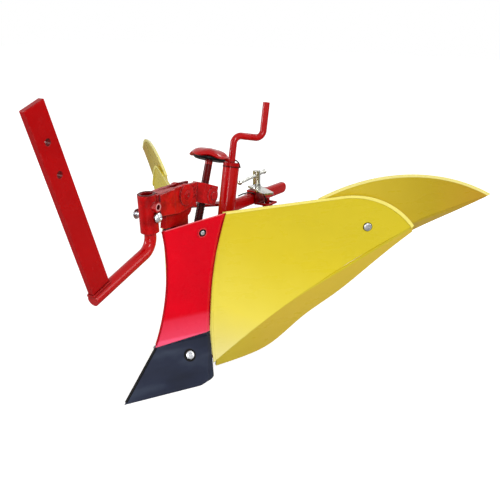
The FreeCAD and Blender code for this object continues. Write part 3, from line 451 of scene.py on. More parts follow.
SLOT_MATERIALS = {
    "frame_red": enamel("FrameEnamel", "frame_red", 0.88),
    # Breast: its edges are paled mostly as painted highlight.
    "breast_red": enamel("BreastEnamel", "breast_red", edge=0.0018, rough=(0.22, 0.34), chip=0.75,
                         peel=0.06, fleck=(0.20, 0.40), bare=(1.0, 0.45, 0.5),
                         # Painted reflection of the floor, paler low on the breast.
                         fade=(BREAST_FLOOR_REFLECTION, (0.90, 0.10, 0.20))),
    # Painted highlight: a pale pink for the lip round the sleeve's boss.
    "lip_pink": enamel("WornLip", "frame_red", worn=((0.9, 0.5, 0.5), 0.5), edge=0.0008),
    # Painted highlight: a pale pink for the beads along the breast's top rims.
    "rim_pink": enamel("WornRim", "breast_red", worn=((0.95, 0.28, 0.32), 0.45), edge=0.0008,
                       chip=0.1),
    # Painted shade: breast red darkened, for the beads down the nose and along the back rims of the
    # breast.
    "nose_red": enamel("NoseEnamel", "breast_red", 0.55, edge=0.0008, chip=0.04),
    # Painted shadow: frame red darkened almost to black, for the mouths of the sleeve and crank
    # tube and for the pitch screw under the knob.
    "seam_red": enamel("SeamEnamel", "frame_red", 0.24, edge=0.0008, chip=0.04),
    "cast_red": enamel("CastEnamel", "frame_red", 1.12, edge=0.0016, rough=(0.22, 0.34), chip=0.5,
                       fleck=(0.40, 0.60), bare=(1.0, 0.55, 0.6), cast=(70.0, 0.26), gloss=0.13),
    "tube_red": enamel("TubeEnamel", "frame_red", 1.04, rough=(0.15, 0.22), chip=0.30, peel=0.10,
                       fleck=(0.42, 0.62), gloss=0.22),
    "share_navy": lambda c: share_paint("ShareCoat", tuple(c.share_navy)),
    "wing_yellow": lambda c: wing_polymer(
        "WingPolymer", tuple(c.wing_yellow), tuple(c.rim_yellow)),
    "extension_yellow": lambda c: extension_polymer(
        "ExtensionPolymer", tuple(c.extension_yellow), tuple(c.rim_yellow)),
    "zinc": lambda c: plated("ClampZinc", tuple(c.zinc_grey)),
    "bolt_steel": lambda c: plated("BoltPlating", tuple(c.bolt_grey), (0.18, 0.38)),
    "wire": lambda c: oiled_wire_and_shade("OiledWire", tuple(c.wire_black)),
}


# Red parts with a coat of their own: the castings, the round tubes, and the pitch screw, which
# takes the near-black red of painted shadow.
OWN_COAT = {"crank_tube": "tube_red", "crank_handle": "tube_red", "hitch_rod": "tube_red",
            "tail_bar": "tube_red", "pitch_screw": "seam_red",
            "slider": "cast_red", "head_arm": "cast_red", "nut_block": "cast_red",
            "hitch_sleeve": "cast_red", "frog": "cast_red"}


def finish_of(slot):
    """The material for a slot of the record, made once."""
    made = bpy.context.scene.get("ridger_" + slot)
    if made:
        return bpy.data.materials[made]
    material = SLOT_MATERIALS[slot](bpy.context.scene.ridger_colours)
    bpy.context.scene["ridger_" + slot] = material.name
    return material


class RIDGER_OT_finishes(bpy.types.Operator):
    """Give every frame part its paint, polymer or plating"""
    bl_idname = "ridger.finishes"
    bl_label = "Paint and Plate"

    def execute(self, context):
        for entry in frame["record"]["subparts"]:
            part = frame["nodes"][entry["node"]]
            material = finish_of(OWN_COAT.get(entry["node"], entry["material_slot"]))
            if not part.material_slots:
                part.data.materials.append(material)
            for holder in part.material_slots:
                holder.material = material
        return {"FINISHED"}


# ---- making pieces
# Edges sharper than these stay crisp, in degrees: on most pieces, and on wires.
CRISP_ANGLE, WIRE_ANGLE = 32.0, 60.0


def keep(name, mesh, body, slot, finish=None, stands_for=()):
    """A finished piece: painted, named, and riding its body."""
    mesh.name = name
    piece = bpy.data.objects.new(name, mesh)
    bpy.context.collection.objects.link(piece)
    mesh.materials.clear()
    mesh.materials.append(finish_of(finish or slot))
    for face in mesh.polygons:
        face.material_index = 0
    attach(piece, body)
    if stands_for:
        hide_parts(*stands_for)


def smooth_by_angle(mesh, degrees=CRISP_ANGLE):
    """Round shading, with the edges sharper than the angle kept crisp."""
    work = bmesh.new()
    work.from_mesh(mesh)
    for face in work.faces:
        face.smooth = True
    for edge in work.edges:
        edge.smooth = (len(edge.link_faces) == 2
                       and edge.calc_face_angle(0.0) < math.radians(degrees))
    work.to_mesh(mesh)
    work.free()
    return mesh


def standing(centre, axis, forward=(0.0, 0.0, 1.0)):
    """The placement that stands +Z along axis at centre, which is in mm."""
    up = Vector(axis).normalized()
    side = Vector(forward).cross(up)
    if side.length < 1e-6:
        side = Vector((1.0, 0.0, 0.0)).cross(up)
    side.normalize()
    turn = Matrix((side, up.cross(side), up)).transposed().to_4x4()
    turn.translation = [c / 1000 for c in centre]
    return turn


def hexagon(flats, angle):
    """Radius of a hexagon across flats, at an angle."""
    return flats / 2 / math.cos((angle + math.pi / 6) % (math.pi / 3) - math.pi / 6)


def skinned(work, name, place=None):
    """The work as a mesh, with its faces outward and its sharp edges crisp."""
    bmesh.ops.recalc_face_normals(work, faces=work.faces)
    if place:
        work.transform(place)
    mesh = bpy.data.meshes.new(name)
    work.to_mesh(mesh)
    work.free()
    return smooth_by_angle(mesh)


def turned(rows, place=None, sides=48, ring=False):
    """A shape turned about +Z from rows of radius, height and, on a hexagon, across flats, in mm.

    It is closed by a pole at each end, or as a ring where ring is true.
    """
    work = bmesh.new()
    loops = []
    for radius, height, *flats in rows:
        loop = []
        for k in range(sides):
            angle = 2 * math.pi * k / sides
            r = min(radius, hexagon(*flats, angle)) if flats else radius
            loop.append(work.verts.new((r * math.cos(angle) / 1000, r * math.sin(angle) / 1000,
                                        height / 1000)))
        loops.append(loop)
    pairs = list(zip(loops, loops[1:]))
    if ring:
        pairs.append((loops[-1], loops[0]))
    for low, high in pairs:
        for k in range(sides):
            j = (k + 1) % sides
            work.faces.new((low[k], low[j], high[j], high[k]))
    if not ring:
        for end, turn in ((0, -1), (-1, 1)):
            loop, pole = loops[end], work.verts.new((0, 0, rows[end][1] / 1000))
            for k in range(sides):
                corner = (loop[k], loop[(k + 1) % sides], pole)
                work.faces.new(corner[::turn])
    return skinned(work, "Turned", place)


def polylines(lines):
    """Guide lines as a mesh of edges; each line is a list of points in mm."""
    points, edges = [], []
    for line in lines:
        first = len(points)
        points += [tuple(c / 1000 for c in point) for point in line]
        edges += [(k, k + 1) for k in range(first, len(points) - 1)]
    mesh = bpy.data.meshes.new("Guide")
    mesh.from_pydata(points, edges, [])
    return mesh


def rounded(points, steps=8):
    """A smooth run through points in mm."""
    ends = [Vector(p) for p in points]
    ends = [2 * ends[0] - ends[1], *ends, 2 * ends[-1] - ends[-2]]
    out = []
    for a, b, c, d in zip(ends, ends[1:], ends[2:], ends[3:]):
        for k in range(steps):
            t = k / steps
            out.append(0.5 * (2 * b + (c - a) * t + (2 * a - 5 * b + 4 * c - d) * t * t
                              + (3 * b - a - 3 * c + d) * t ** 3))
    return [*out, ends[-2]]


class Tree(Wiring):
    """A geometry-node group with named inputs; it ends in Realize Instances and Set Material."""

    def __init__(self, name, **inputs):
        super().__init__(bpy.data.node_groups.new(name, "GeometryNodeTree"))
        face = self.tree.interface
        face.new_socket("Geometry", in_out="INPUT", socket_type="NodeSocketGeometry")
        self.ids = {}
        for label, kind in {**inputs, "Finish": "Material"}.items():
            made = face.new_socket(label, in_out="INPUT", socket_type="NodeSocket" + kind)
            self.ids[label] = made.identifier
        face.new_socket("Geometry", in_out="OUTPUT", socket_type="NodeSocketGeometry")
        self.start = self.add("NodeGroupInput")

    def half(self, label):
        return self.times((self.start, label), 0.5)

    def guide(self):
        """The guide mesh as curves."""
        return self.add("GeometryNodeMeshToCurve", Mesh=self.start)

    def tube(self, path, radius, sides):
        """A smooth round skin about a curve."""
        section = self.add("GeometryNodeCurvePrimitiveCircle", Resolution=sides, Radius=radius)
        skin = self.add("GeometryNodeCurveToMesh", path, section, **{"Fill Caps": True})
        return self.add("GeometryNodeSetShadeSmooth", skin)

    def end(self, last):
        real = self.add("GeometryNodeRealizeInstances", last)
        paint = self.add("GeometryNodeSetMaterial", real, Material=(self.start, "Finish"))
        self.add("NodeGroupOutput", paint)
        return self

    def bake(self, guide, values, slot):
        """The tree's result on a guide mesh, as a plain mesh."""
        holder = bpy.data.objects.new("Guide", guide)
        bpy.context.collection.objects.link(holder)
        step = holder.modifiers.new("Make", "NODES")
        step.node_group = self.tree
        for label, value in {**values, "Finish": finish_of(slot)}.items():
            step[self.ids[label]] = value
        bpy.context.view_layer.update()
        seen = bpy.context.evaluated_depsgraph_get()
        made = bpy.data.meshes.new_from_object(holder.evaluated_get(seen), depsgraph=seen)
        bpy.data.objects.remove(holder)
        if not made.polygons:
            raise RuntimeError("the nodes made nothing")
        return made


def bead_tree():
    """Small overlapping drops along guide lines: the ripples of a weld."""
    tree = Tree("WeldBeads", Width="Float", Pitch="Float", Seed="Int")
    spaced = tree.add("GeometryNodeResampleCurve", mode="LENGTH", Curve=tree.guide(),
                      Length=(tree.start, "Pitch"))
    drop = tree.add("GeometryNodeMeshIcoSphere", Subdivisions=2, Radius=tree.half("Width"))
    turn = tree.add("FunctionNodeAlignRotationToVector", axis="X",
                    Vector=tree.add("GeometryNodeInputTangent"))
    chance = tree.add("FunctionNodeRandomValue", data_type="FLOAT_VECTOR",
                      Min=(0.60, 0.86, 0.86), Max=(0.78, 1.10, 1.06), Seed=(tree.start, "Seed"))
    return tree.end(tree.add("GeometryNodeInstanceOnPoints", Points=spaced,
                             Instance=tree.add("GeometryNodeSetShadeSmooth", drop),
                             Rotation=turn, Scale=chance))


def wire_tree():
    """A round wire along guide lines."""
    tree = Tree("RoundWire", Width="Float")
    return tree.end(tree.tube(tree.guide(), tree.half("Width"), 12))


def thread_tree():
    """A rounded helical ridge about +Z."""
    tree = Tree("ScrewThread", Radius="Float", Length="Float", Pitch="Float", Ridge="Float")
    radius, length = (tree.start, "Radius"), (tree.start, "Length")
    turns = tree.maths("DIVIDE", length, (tree.start, "Pitch"))
    coil = tree.add("GeometryNodeCurveSpiral", Resolution=36, Rotations=turns, Height=length,
                    **{"Start Radius": radius, "End Radius": radius})
    return tree.end(tree.tube(coil, (tree.start, "Ridge"), 8))


def lobe_tree():
    """Draws a turned crown out into lobes that droop at the rim."""
    tree = Tree("KnobLobes", Lobes="Int", Depth="Float", Droop="Float", Facing="Float",
                Radius="Float")
    split = tree.add("ShaderNodeSeparateXYZ", tree.add("GeometryNodeInputPosition"))
    flat = tree.add("ShaderNodeCombineXYZ", (split, "X"), (split, "Y"))
    angle = tree.maths("ARCTAN2", (split, "Y"), (split, "X"))
    away = tree.maths("SUBTRACT", angle, (tree.start, "Facing"))
    wave = tree.maths("COSINE", tree.times(away, (tree.start, "Lobes")))
    share = tree.maths("DIVIDE", tree.vector("LENGTH", flat), (tree.start, "Radius"))
    swell = tree.times(wave, tree.times(share, share))
    out = tree.vector("SCALE", flat)
    tree.feed(tree.times(swell, (tree.start, "Depth")), out, "Scale")
    drop = tree.times(swell, (tree.start, "Droop"))
    down = tree.add("ShaderNodeCombineXYZ", Z=tree.times(drop, -1.0))
    return tree.end(tree.add("GeometryNodeSetPosition", Geometry=tree.start,
                             Offset=tree.vector("ADD", out, down)))


# ---- pieces
# Placements in mm: the pitch screw's middle and axis, and the sleeve's and crank tube's feet,
# axes and lengths.
SCREW_MIDDLE, SCREW_AXIS = (-38.25, 0.0, 339.8), (-0.33035, 0.0, 0.94386)
SLEEVE_FOOT, SLEEVE_AXIS, SLEEVE_LENGTH = (122.838, 0.0, 307.0), (0.08194, 0.0, 0.99664), 71.0
TUBE_FOOT, TUBE_AXIS, TUBE_LENGTH = (-101.162, 0.0, 212.0), (-0.20279, 0.0, 0.97922), 171.0
# The left bolts: middle of the head's crown, outward axis, length, body.
BOLTS = {
    "share_bolt": ((70.0, 45.3, 56.2), (0.3993, 0.7836, 0.4760), 30.3, "frame"),
    "breast_bolt": ((16.3, 40.7, 283.1), (0.4517, 0.8866, -0.0992), 20.6, "frame"),
    "wing_bolt": ((-223.5, 266.9, 272.6), (0.7468, 0.6643, -0.0323), 24.8, "{}_wing_body"),
}
# The bolts' nuts and grooved ends, in mm.
NUT_TALL, NUT_FLATS, NUT_CORNER, NUT_FACE, NUT_BEVEL = 8.0, 16.0, 9.0, 7.4, 0.9
SHANK_RADIUS, GROOVE_RADIUS, GROOVE_PITCH, BARE_END = 5.0, 4.6, 0.8, 3.0
# The knob's height above the screw's middle and its radius in mm, and the shape of its lobes.
KNOB_RISE, KNOB_RADIUS = 75.4, 39.0
LOBE_DEPTH, LOBE_DROOP, LOBE_FACING = 0.062, 0.0022, math.radians(31.4)


def along(foot, axis, distance):
    return tuple(f + a * distance for f, a in zip(foot, axis))


def mirrored(points, sign):
    """Points of the left side, or their mirror images on the right."""
    return [(x, sign * y, z) for x, y, z in points]


class RIDGER_OT_bolts(bpy.types.Operator):
    """Turn the share, breast and wing bolts with their nuts and grooved ends, the cup round the
    breast bolt, and near-black rings of painted shadow round the heads
    """
    bl_idname = "ridger.bolts"
    bl_label = "Bolts"

    # Each head's rows of radius, height under the crown and, on a hexagon, across flats.
    HEADS = {
        "share_bolt": [(5.2, -5.5), (8.9, -5.5, 15.4), (8.9, -3.1, 15.4), (7.9, -2.2, 15.4),
                       (7.2, -1.9), (3.6, -1.95), (3.2, -2.7)],
        "breast_bolt": [(5.2, -5.4), (4.3, -5.3), (4.4, -3.4), (3.9, -2.8), (2.8, -2.5),
                        (1.2, -2.4)],
        "wing_bolt": [(5.2, -5.4), (8.0, -5.4), (8.2, -3.6), (7.6, -2.7), (5.6, -2.0),
                      (2.6, -1.7)],
    }
    # Rings round the heads: name, slot, finish, and a closed section of radius and height. The
    # near-black ones are painted shadow round a head; the breast bolt's cup is a raised lip in the
    # breast's paint.
    RINGS = {
        "share_bolt": [("seat", "bolt_steel", "wire",
                        [(7.0, -5.6), (12.2, -5.6), (12.4, -4.9), (11.8, -4.5), (7.0, -4.5)])],
        "breast_bolt": [("gasket", "bolt_steel", "wire",
                         [(4.2, -5.6), (7.6, -5.6), (7.6, -4.2), (7.0, -4.0), (4.2, -4.4)]),
                        ("cup", "breast_red", None,
                         [(7.4, -5.7), (10.8, -5.7), (10.2, -4.3), (9.3, -3.5), (8.3, -3.5),
                          (7.5, -4.1)])],
        "wing_bolt": [("seat", "bolt_steel", "wire",
                       [(7.9, -5.6), (9.3, -5.6), (9.3, -4.9), (8.9, -4.6), (7.9, -4.6)])],
    }

    @staticmethod
    def stem(tail):
        """Rows of a bolt's grooved end and its nut, from the height of its tip."""
        rows = [(4.1, tail), (4.7, tail + 0.5)]
        for k in range(3):
            crest = tail + 0.9 + GROOVE_PITCH * k
            rows += [(SHANK_RADIUS, crest), (GROOVE_RADIUS, crest + GROOVE_PITCH / 2)]
        low, high = tail + BARE_END, tail + BARE_END + NUT_TALL
        return rows + [(NUT_FACE, low, NUT_FLATS), (NUT_CORNER, low + NUT_BEVEL, NUT_FLATS),
                       (NUT_CORNER, high - NUT_BEVEL, NUT_FLATS), (NUT_FACE, high, NUT_FLATS),
                       (SHANK_RADIUS, high)]

    def execute(self, context):
        for kind, (crown, axis, length, body) in BOLTS.items():
            for hand, sign in HANDS:
                place = standing(*mirrored((crown, axis), sign))
                riding = body.format(hand)
                keep(f"{hand}_{kind}_turned", turned(self.stem(-length) + self.HEADS[kind], place),
                     riding, "bolt_steel", stands_for=(f"{hand}_{kind}",))
                for label, slot, finish, section in self.RINGS[kind]:
                    keep(f"{hand}_{kind}_{label}", turned(section, place, ring=True), riding, slot,
                         finish)
        return {"FINISHED"}


class RIDGER_OT_knob(bpy.types.Operator):
    """Turn the lobed adjusting knob, with a near-black underside that paints its shade"""
    bl_idname = "ridger.knob"
    bl_label = "Adjusting Knob"

    # Rows of radius and height, in mm.
    CROWN = [(7.4, -14.0), (7.4, -1.2), (20.0, -0.8), (33.0, -0.6), (37.6, -0.2), (38.8, 0.6),
             (39.2, 1.6), (38.7, 2.9), (37.4, 4.8), (35.2, 7.2), (32.2, 9.7), (28.4, 12.0),
             (24.0, 13.8), (19.0, 15.2), (13.5, 16.2), (8.0, 16.8), (3.0, 17.0)]
    UNDERSIDE = [(8.0, -6.4), (24.0, -6.4), (28.5, -5.6), (30.5, -3.6), (31.0, -1.0),
                 (30.0, -0.2), (8.0, -0.2)]

    def execute(self, context):
        place = standing(along(SCREW_MIDDLE, SCREW_AXIS, KNOB_RISE), SCREW_AXIS, (0, -1, 0))
        made = lobe_tree().bake(turned(self.CROWN, sides=120), {
            "Lobes": context.scene.ridger_sizes.knob_lobes, "Depth": LOBE_DEPTH,
            "Droop": LOBE_DROOP, "Facing": LOBE_FACING, "Radius": KNOB_RADIUS / 1000},
            "frame_red")
        made.transform(place)
        keep("star_knob_crown", smooth_by_angle(made), "head", "frame_red", "tube_red",
             stands_for=("star_knob",))
        # Painted shade: the knob's underside is a near-black ring.
        keep("star_knob_underside", turned(self.UNDERSIDE, place, 72, True), "head", "frame_red",
             "wire")
        return {"FINISHED"}


class RIDGER_OT_threads(bpy.types.Operator):
    """Cut the threads of the pitch screw and the clamp screw"""
    bl_idname = "ridger.threads"
    bl_label = "Screw Threads"

    # Name, foot, axis, radius, length and body of each thread, in mm.
    THREADS = (("pitch_screw_thread", along(SCREW_MIDDLE, SCREW_AXIS, -60.0), SCREW_AXIS, 7.35,
                44.0, "head"),
               ("clamp_screw_thread", (-231.5, 0.0, 319.6), (0, 0, 1), 7.7, 6.0, "slider_body"))

    def execute(self, context):
        sizes, tree = context.scene.ridger_sizes, thread_tree()
        for name, foot, axis, radius, length, body in self.THREADS:
            made = tree.bake(polylines([[(0, 0, 0), (0, 0, 1)]]), {
                "Radius": radius / 1000, "Length": length / 1000, "Pitch": sizes.thread_pitch,
                "Ridge": sizes.thread_ridge}, "wire")
            made.transform(standing(foot, axis))
            keep(name, made, body, "bolt_steel", "wire")
        return {"FINISHED"}


class RIDGER_OT_welds(bpy.types.Operator):
    """Lay the weld beads of the frame, head and stay"""
    bl_idname = "ridger.welds"
    bl_label = "Weld Beads"

    # The end of the hitch rod, the hitch bar's lean and how far up the bar its beads run, in mm.
    ROD_X, ROD_Z, LEAN, LIFT = 276.64, 223.80, math.radians(20.2), 10.7

    def stay_foot(self, forward, side):
        """A point at the foot of the hitch bar: forward of the rod's end, and to its side."""
        return (self.ROD_X + forward * math.cos(self.LEAN) + self.LIFT * math.sin(self.LEAN), side,
                self.ROD_Z - forward * math.sin(self.LEAN) + self.LIFT * math.cos(self.LEAN))

    def execute(self, context):
        sizes, tree = context.scene.ridger_sizes, bead_tree()
        seams = {"frame": [], "head": [], "stay": []}
        for side in (1, -1):
            seams["frame"] += [
                [(-88.2, 6.3 * side, 224.0), (-94.6, 6.3 * side, 253.0)],
                [(-131.6, 7.2 * side, 286.0), (-136.3, 7.2 * side, 309.2)],
                [(55.0, 6.4 * side, 24.2), (18.0, 6.4 * side, 24.2)]]
            seams["head"].append([(114.1, 13.2 * side, 333.0), (117.3, 13.2 * side, 373.0)])
            seams["stay"].append([self.stay_foot(-1, 6.4 * side), self.stay_foot(-42, 6.4 * side)])
        seams["frame"].append([(-136.6, -7.0, 309.4), (-136.6, 7.0, 309.4)])
        seams["stay"] += [[self.stay_foot(0.4, -6), self.stay_foot(0.4, 6)],
                          [self.stay_foot(-43.4, -6), self.stay_foot(-43.4, 6)]]
        for seed, (body, lines) in enumerate(seams.items()):
            made = tree.bake(polylines(lines), {
                "Width": sizes.bead_width, "Pitch": sizes.bead_pitch, "Seed": seed + 3},
                "frame_red")
            keep(body + "_weld_beads", made, body, "frame_red")
        return {"FINISHED"}


class RIDGER_OT_wires(bpy.types.Operator):
    """Bend the retaining wires and the split ring"""
    bl_idname = "ridger.wires"
    bl_label = "Retaining Wires"

    def execute(self, context):
        sizes, tree = context.scene.ridger_sizes, wire_tree()
        ring = [(-211.3 + 4.2 * math.cos(a), 5.0 + 2.0 * math.sin(a), 323.0 + 4.2 * math.sin(a))
                for a in np.linspace(0.2, 2 * math.pi, 28)]
        runs = {
            "slider_body": [
                rounded([(-148.0, 9.5, 317.5), (-165.0, 9.5, 318.2), (-186.0, 9.2, 316.4),
                         (-203.0, 8.6, 312.0), (-211.5, 8.0, 307.5)]),
                rounded([(-191.5, 43.0, 315.2), (-192.5, 44.5, 311.5), (-196.5, 45.5, 305.0),
                         (-199.0, 45.5, 301.5)])],
            "frame": [
                rounded([(-140.0, 3.0, 392.6), (-146.5, 6.0, 390.2), (-152.0, 8.5, 383.5),
                         (-154.5, 9.5, 374.5)])],
        }
        for body, lines in runs.items():
            made = tree.bake(polylines(lines), {"Width": sizes.wire_width}, "wire")
            keep(body + "_wire", smooth_by_angle(made, WIRE_ANGLE), body, "bolt_steel", "wire")
        made = tree.bake(polylines([ring]), {"Width": sizes.wire_width * 0.8}, "bolt_steel")
        keep("split_ring", smooth_by_angle(made, WIRE_ANGLE), "slider_body", "bolt_steel")
        return {"FINISHED"}


class RIDGER_OT_head_trim(bpy.types.Operator):
    """Turn the boss's lip, painted as a highlight, and the dark rings of painted shadow at the
    mouths of the sleeve and crank tube
    """
    bl_idname = "ridger.head_trim"
    bl_label = "Head Trim"

    # Name, middle, axis, body, finish and closed section of each ring, in mm.
    BOSS_X, _, BOSS_Z = along(SLEEVE_FOOT, SLEEVE_AXIS, SLEEVE_LENGTH * 0.7)
    RINGS = (
        ("sleeve_boss_lip", (BOSS_X, 24.6, BOSS_Z), (0, 1, 0), "head", "lip_pink",
         [(4.6, -0.4), (7.2, -0.4), (7.2, 0.3), (6.6, 0.8), (5.2, 0.8), (4.6, 0.3)]),
        ("sleeve_mouth", along(SLEEVE_FOOT, SLEEVE_AXIS, SLEEVE_LENGTH), SLEEVE_AXIS, "head",
         "seam_red",
         [(11.6, -0.6), (16.6, -0.6), (16.2, 0.5), (15.0, 1.0), (12.6, 0.9), (11.6, 0.3)]),
        ("crank_tube_seam", along(TUBE_FOOT, TUBE_AXIS, TUBE_LENGTH), TUBE_AXIS, "frame",
         "seam_red", [(16.0, -1.2), (17.1, -1.2), (17.3, 0.0), (17.1, 1.2), (16.0, 1.2)]))

    def execute(self, context):
        for name, middle, axis, body, finish, section in self.RINGS:
            keep(name, turned(section, standing(middle, axis), ring=True), body, "frame_red",
                 finish)
        return {"FINISHED"}


class RIDGER_OT_keels(bpy.types.Operator):
    """Run beads of painted shade down the noses of the breast and share and along the breast's back
    rims, and beads of painted highlight along its top rims
    """
    bl_idname = "ridger.keels"
    bl_label = "Nose Beads"

    # Points (x, z) down the middle of each nose, in mm.
    BREAST_NOSE = ((88.1, 298.0), (86.0, 291.08), (81.1, 266.98), (78.4, 242.55), (77.9, 217.97),
                   (79.6, 193.44), (83.4, 169.16), (89.4, 145.32), (97.5, 122.11), (107.6, 99.71),
                   (117.5, 82.5))
    SHARE_NOSE = ((119.0, 77.2), (165.0, 38.7), (208.0, 2.8))
    # Points (x, y, z) along the back and the top rim of the breast's left half, in mm.
    BACK_RIM = ((-30.0, 59.3, 314.0), (-28.5, 57.1, 307.2), (-18.8, 46.2, 249.0),
                (-14.8, 43.6, 225.8), (-11.7, 42.3, 208.3), (-7.6, 41.4, 185.0),
                (-4.4, 41.3, 167.5), (-1.1, 41.8, 150.2), (7.0, 44.9, 111.4), (10.3, 46.6, 97.0))
    TOP_RIM = ((-20.0, 58.2, 315.3), (32.9, 29.9, 306.9), (84.0, 2.4, 298.2))
    RIM_WIDTH = 0.0022

    def execute(self, context):
        tree = wire_tree()
        rows = [("breast_nose_bead", [(x, 0.0, z) for x, z in self.BREAST_NOSE], 0.0040,
                 "breast_red", "nose_red"),
                # The share's nose takes a near-black bead of painted shade.
                ("share_nose_edge", [(x, 0.0, z) for x, z in self.SHARE_NOSE], 0.0052,
                 "share_navy", "wire")]
        for hand, sign in HANDS:
            rows += [(f"{hand}_breast_back_rim", mirrored(self.BACK_RIM, sign), self.RIM_WIDTH,
                      "breast_red", "nose_red"),
                     (f"{hand}_breast_top_rim", mirrored(self.TOP_RIM, sign), self.RIM_WIDTH,
                      "breast_red", "rim_pink")]
        for name, line, width, slot, finish in rows:
            made = tree.bake(polylines([rounded(line)]), {"Width": width}, finish)
            keep(name, smooth_by_angle(made, WIRE_ANGLE), "frame", slot, finish)
        return {"FINISHED"}


class RIDGER_OT_wing_lips(bpy.types.Operator):
    """Carry each wing's front edge a little way under the breast"""
    bl_idname = "ridger.wing_lips"
    bl_label = "Wing Lips"

    # The wing's front edge: distances down the face and along it, in metres.
    EDGE_DOWN = (-0.290, -0.266, -0.244, -0.220, -0.196, -0.172, -0.151, -0.130, -0.116, -0.089,
                 -0.0756, -0.052, -0.0386, -0.017, 0.002)
    EDGE_ALONG = (-0.0338, -0.0339, -0.0335, -0.0325, -0.0311, -0.0291, -0.0269, -0.0243,
                  -0.0224, -0.0181, -0.0157, -0.0111, -0.0082, -0.0033, 0.0015)
    # How far the lip runs under the breast and over the wing, the skin's inner and outer radius,
    # the angles it spans about the wing's axis, and its steps.
    UNDER, OVER, SKIN = 0.0048, 0.0004, (0.4584, 0.4628)
    FIRST_ANGLE, TURN, STEPS = 0.12, 0.50, 40

    def execute(self, context):
        corner, run, up, axis = (Vector(v) for v in (WING_CORNER, WING_ALONG, WING_UP, WING_AXIS))
        start = (corner - axis).dot(run)
        out = (corner - axis - start * run).normalized()
        across = out.cross(run)
        for hand, sign in HANDS:
            work = bmesh.new()
            loops = []
            for k in range(self.STEPS + 1):
                angle = self.FIRST_ANGLE + self.TURN * k / self.STEPS
                spoke = math.cos(angle) * out + math.sin(angle) * across
                down = (axis + WING_HOLLOW * spoke + start * run - corner).dot(up)
                edge = float(np.interp(down, self.EDGE_DOWN, self.EDGE_ALONG))
                front, back = edge - self.UNDER, edge + self.OVER
                inner, outer = self.SKIN
                loop = []
                for u, radius in ((front, inner), (back, inner), (back, outer), (front, outer)):
                    point = axis + radius * spoke + (start + u) * run
                    loop.append(work.verts.new((point.x, sign * point.y, point.z)))
                loops.append(loop)
            for low, high in zip(loops, loops[1:]):
                for j in range(4):
                    i = (j + 1) % 4
                    work.faces.new((low[j], low[i], high[i], high[j]))
            work.faces.new(loops[0])
            work.faces.new(loops[-1])
            keep(f"{hand}_wing_front_lip", skinned(work, "WingLip"), f"{hand}_wing_body",
                 "wing_yellow")
        return {"FINISHED"}


# ---- studio
def aimed(name, data, place, target):
    """A lamp or camera at a place, pointing at a target."""
    holder = bpy.data.objects.new(name, data)
    bpy.context.collection.objects.link(holder)
    holder.location = place
    holder.rotation_euler = (Vector(target) - Vector(place)).to_track_quat("-Z", "Y").to_euler()
    return holder


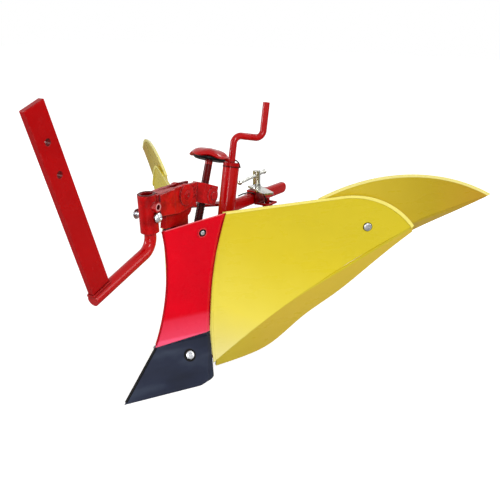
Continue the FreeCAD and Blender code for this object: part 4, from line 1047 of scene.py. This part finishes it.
class RIDGER_OT_studio(bpy.types.Operator):
    """Set up the pale floor, soft lights and camera"""
    bl_idname = "ridger.studio"
    bl_label = "Studio"

    # Soft boxes: name, place, sides, power setting and share of it.
    LAMPS = (("KeyLight", (1.15, 1.65, 1.45), (0.6, 0.6), "key_power", 1.0),
             ("FillLight", (1.2, -1.6, 1.0), (0.8, 0.8), "fill_power", 1.0),
             ("BackLight", (-0.9, 1.9, 0.9), (0.8, 0.8), "fill_power", 0.35),
             ("StripLight", (1.65, 0.85, 0.34), (0.10, 0.6), "strip_power", 1.0),
             ("RimLight", (-1.3, 0.6, 1.8), (1.0, 0.4), "rim_power", 1.0))
    LAMP_TARGET = (0.0, 0.0, 0.25)
    CAMERA_PLACE, CAMERA_TARGET = (1.2403, 0.9439, 0.7368), (0.0424, 0.1609, 0.2790)
    SENSOR, FOCAL, SHIFT, FAR = 36.0, 60.7032, 0.001, 60.0
    # The floor's paint, and its glow near the part and further out, between two distances.
    FLOOR_GREY, FLOOR_ROUGH, FLOOR_GLOSS = (0.50, 0.50, 0.50), 0.85, 0.15
    GLOW_NEAR, GLOW_MORE, GLOW_REACH = 0.80, 0.25, (0.9, 1.6)

    def floor(self, half):
        """A square floor that the camera sees glow and that keeps the part's shadow."""
        mesh = bpy.data.meshes.new("StudioFloor")
        mesh.from_pydata([(-half, -half, 0), (half, -half, 0), (half, half, 0), (-half, half, 0)],
                         [], [(0, 1, 2, 3)])
        floor = bpy.data.objects.new("StudioFloor", mesh)
        bpy.context.collection.objects.link(floor)
        n = Finish("PaleFloor")
        for source, entry in ((self.FLOOR_GREY, "Base Color"), (self.FLOOR_ROUGH, "Roughness"),
                              (self.FLOOR_GLOSS, "Specular IOR Level")):
            n.feed(source, n.shader, entry)
        far = n.step(n.vector("LENGTH", n.place()), *self.GLOW_REACH)
        level = n.maths("MULTIPLY_ADD", far, self.GLOW_MORE, self.GLOW_NEAR)
        glow = n.add("ShaderNodeEmission", Color=(1, 1, 1), Strength=level)
        both = n.add("ShaderNodeAddShader", n.shader, glow)
        seen = n.add("ShaderNodeLightPath"), "Is Camera Ray"
        n.feed(n.add("ShaderNodeMixShader", seen, n.shader, both), n.out, "Surface")
        mesh.materials.append(n.material)

    def room(self, scene, strength):
        """A dim white room that the camera, gloss and glass see as plain white."""
        world = scene.world or bpy.data.worlds.new("Room")
        scene.world = world
        world.use_nodes = True
        w = Wiring(world.node_tree)
        w.tree.nodes.clear()
        room, white = (w.add("ShaderNodeBackground", Color=(1, 1, 1), Strength=level)
                       for level in (strength, 1.0))
        path = w.add("ShaderNodeLightPath")
        seen = w.maths("MAXIMUM", (path, "Is Camera Ray"), (path, "Is Glossy Ray"))
        seen = w.maths("MAXIMUM", seen, (path, "Is Transmission Ray"))
        w.add("ShaderNodeOutputWorld", Surface=w.add("ShaderNodeMixShader", seen, room, white))

    def execute(self, context):
        scene, studio = context.scene, context.scene.ridger_studio
        self.floor(studio.floor_size / 2)
        self.room(scene, studio.world_light)
        for name, place, (wide, tall), setting, share in self.LAMPS:
            lamp = bpy.data.lights.new(name, "AREA")
            lamp.shape = "RECTANGLE"
            lamp.size, lamp.size_y = wide, tall
            lamp.energy = share * getattr(studio, setting)
            aimed(name, lamp, place, self.LAMP_TARGET)
        lens = bpy.data.cameras.new("StudioCamera")
        lens.sensor_width, lens.lens = self.SENSOR, self.FOCAL
        lens.shift_x, lens.clip_end = self.SHIFT, self.FAR
        scene.camera = aimed("StudioCamera", lens, self.CAMERA_PLACE, self.CAMERA_TARGET)
        scene.view_settings.view_transform = "Standard"
        return {"FINISHED"}


class RIDGER_PT_panel(bpy.types.Panel):
    bl_idname = "RIDGER_PT_panel"
    bl_label = "Ridger Workshop"
    bl_space_type = "VIEW_3D"
    bl_region_type = "UI"
    bl_category = "Ridger"

    def draw(self, context):
        for group in (context.scene.ridger_colours, context.scene.ridger_sizes,
                      context.scene.ridger_studio):
            box = self.layout.box()
            for name in group.__annotations__:
                box.prop(group, name)
        for operator in OPERATORS:
            self.layout.operator(operator.bl_idname)


OPERATORS = (RIDGER_OT_finishes, RIDGER_OT_bolts, RIDGER_OT_knob, RIDGER_OT_threads,
             RIDGER_OT_welds, RIDGER_OT_wires, RIDGER_OT_head_trim, RIDGER_OT_keels,
             RIDGER_OT_wing_lips, RIDGER_OT_studio)
CLASSES = (RidgerColours, RidgerSizes, RidgerStudio, *OPERATORS, RIDGER_PT_panel)


def register():
    for cls in CLASSES:
        bpy.utils.register_class(cls)
    bpy.types.Scene.ridger_colours = PointerProperty(type=RidgerColours)
    bpy.types.Scene.ridger_sizes = PointerProperty(type=RidgerSizes)
    bpy.types.Scene.ridger_studio = PointerProperty(type=RidgerStudio)


def unregister():
    del bpy.types.Scene.ridger_studio
    del bpy.types.Scene.ridger_sizes
    del bpy.types.Scene.ridger_colours
    for cls in reversed(CLASSES):
        bpy.utils.unregister_class(cls)


def main():
    register()
    bpy.ops.ridger.finishes()
    bpy.ops.ridger.bolts()
    bpy.ops.ridger.knob()
    bpy.ops.ridger.threads()
    bpy.ops.ridger.welds()
    bpy.ops.ridger.wires()
    bpy.ops.ridger.head_trim()
    bpy.ops.ridger.keels()
    bpy.ops.ridger.wing_lips()
    bpy.ops.ridger.studio()


if __name__ == "__main__":
    main()
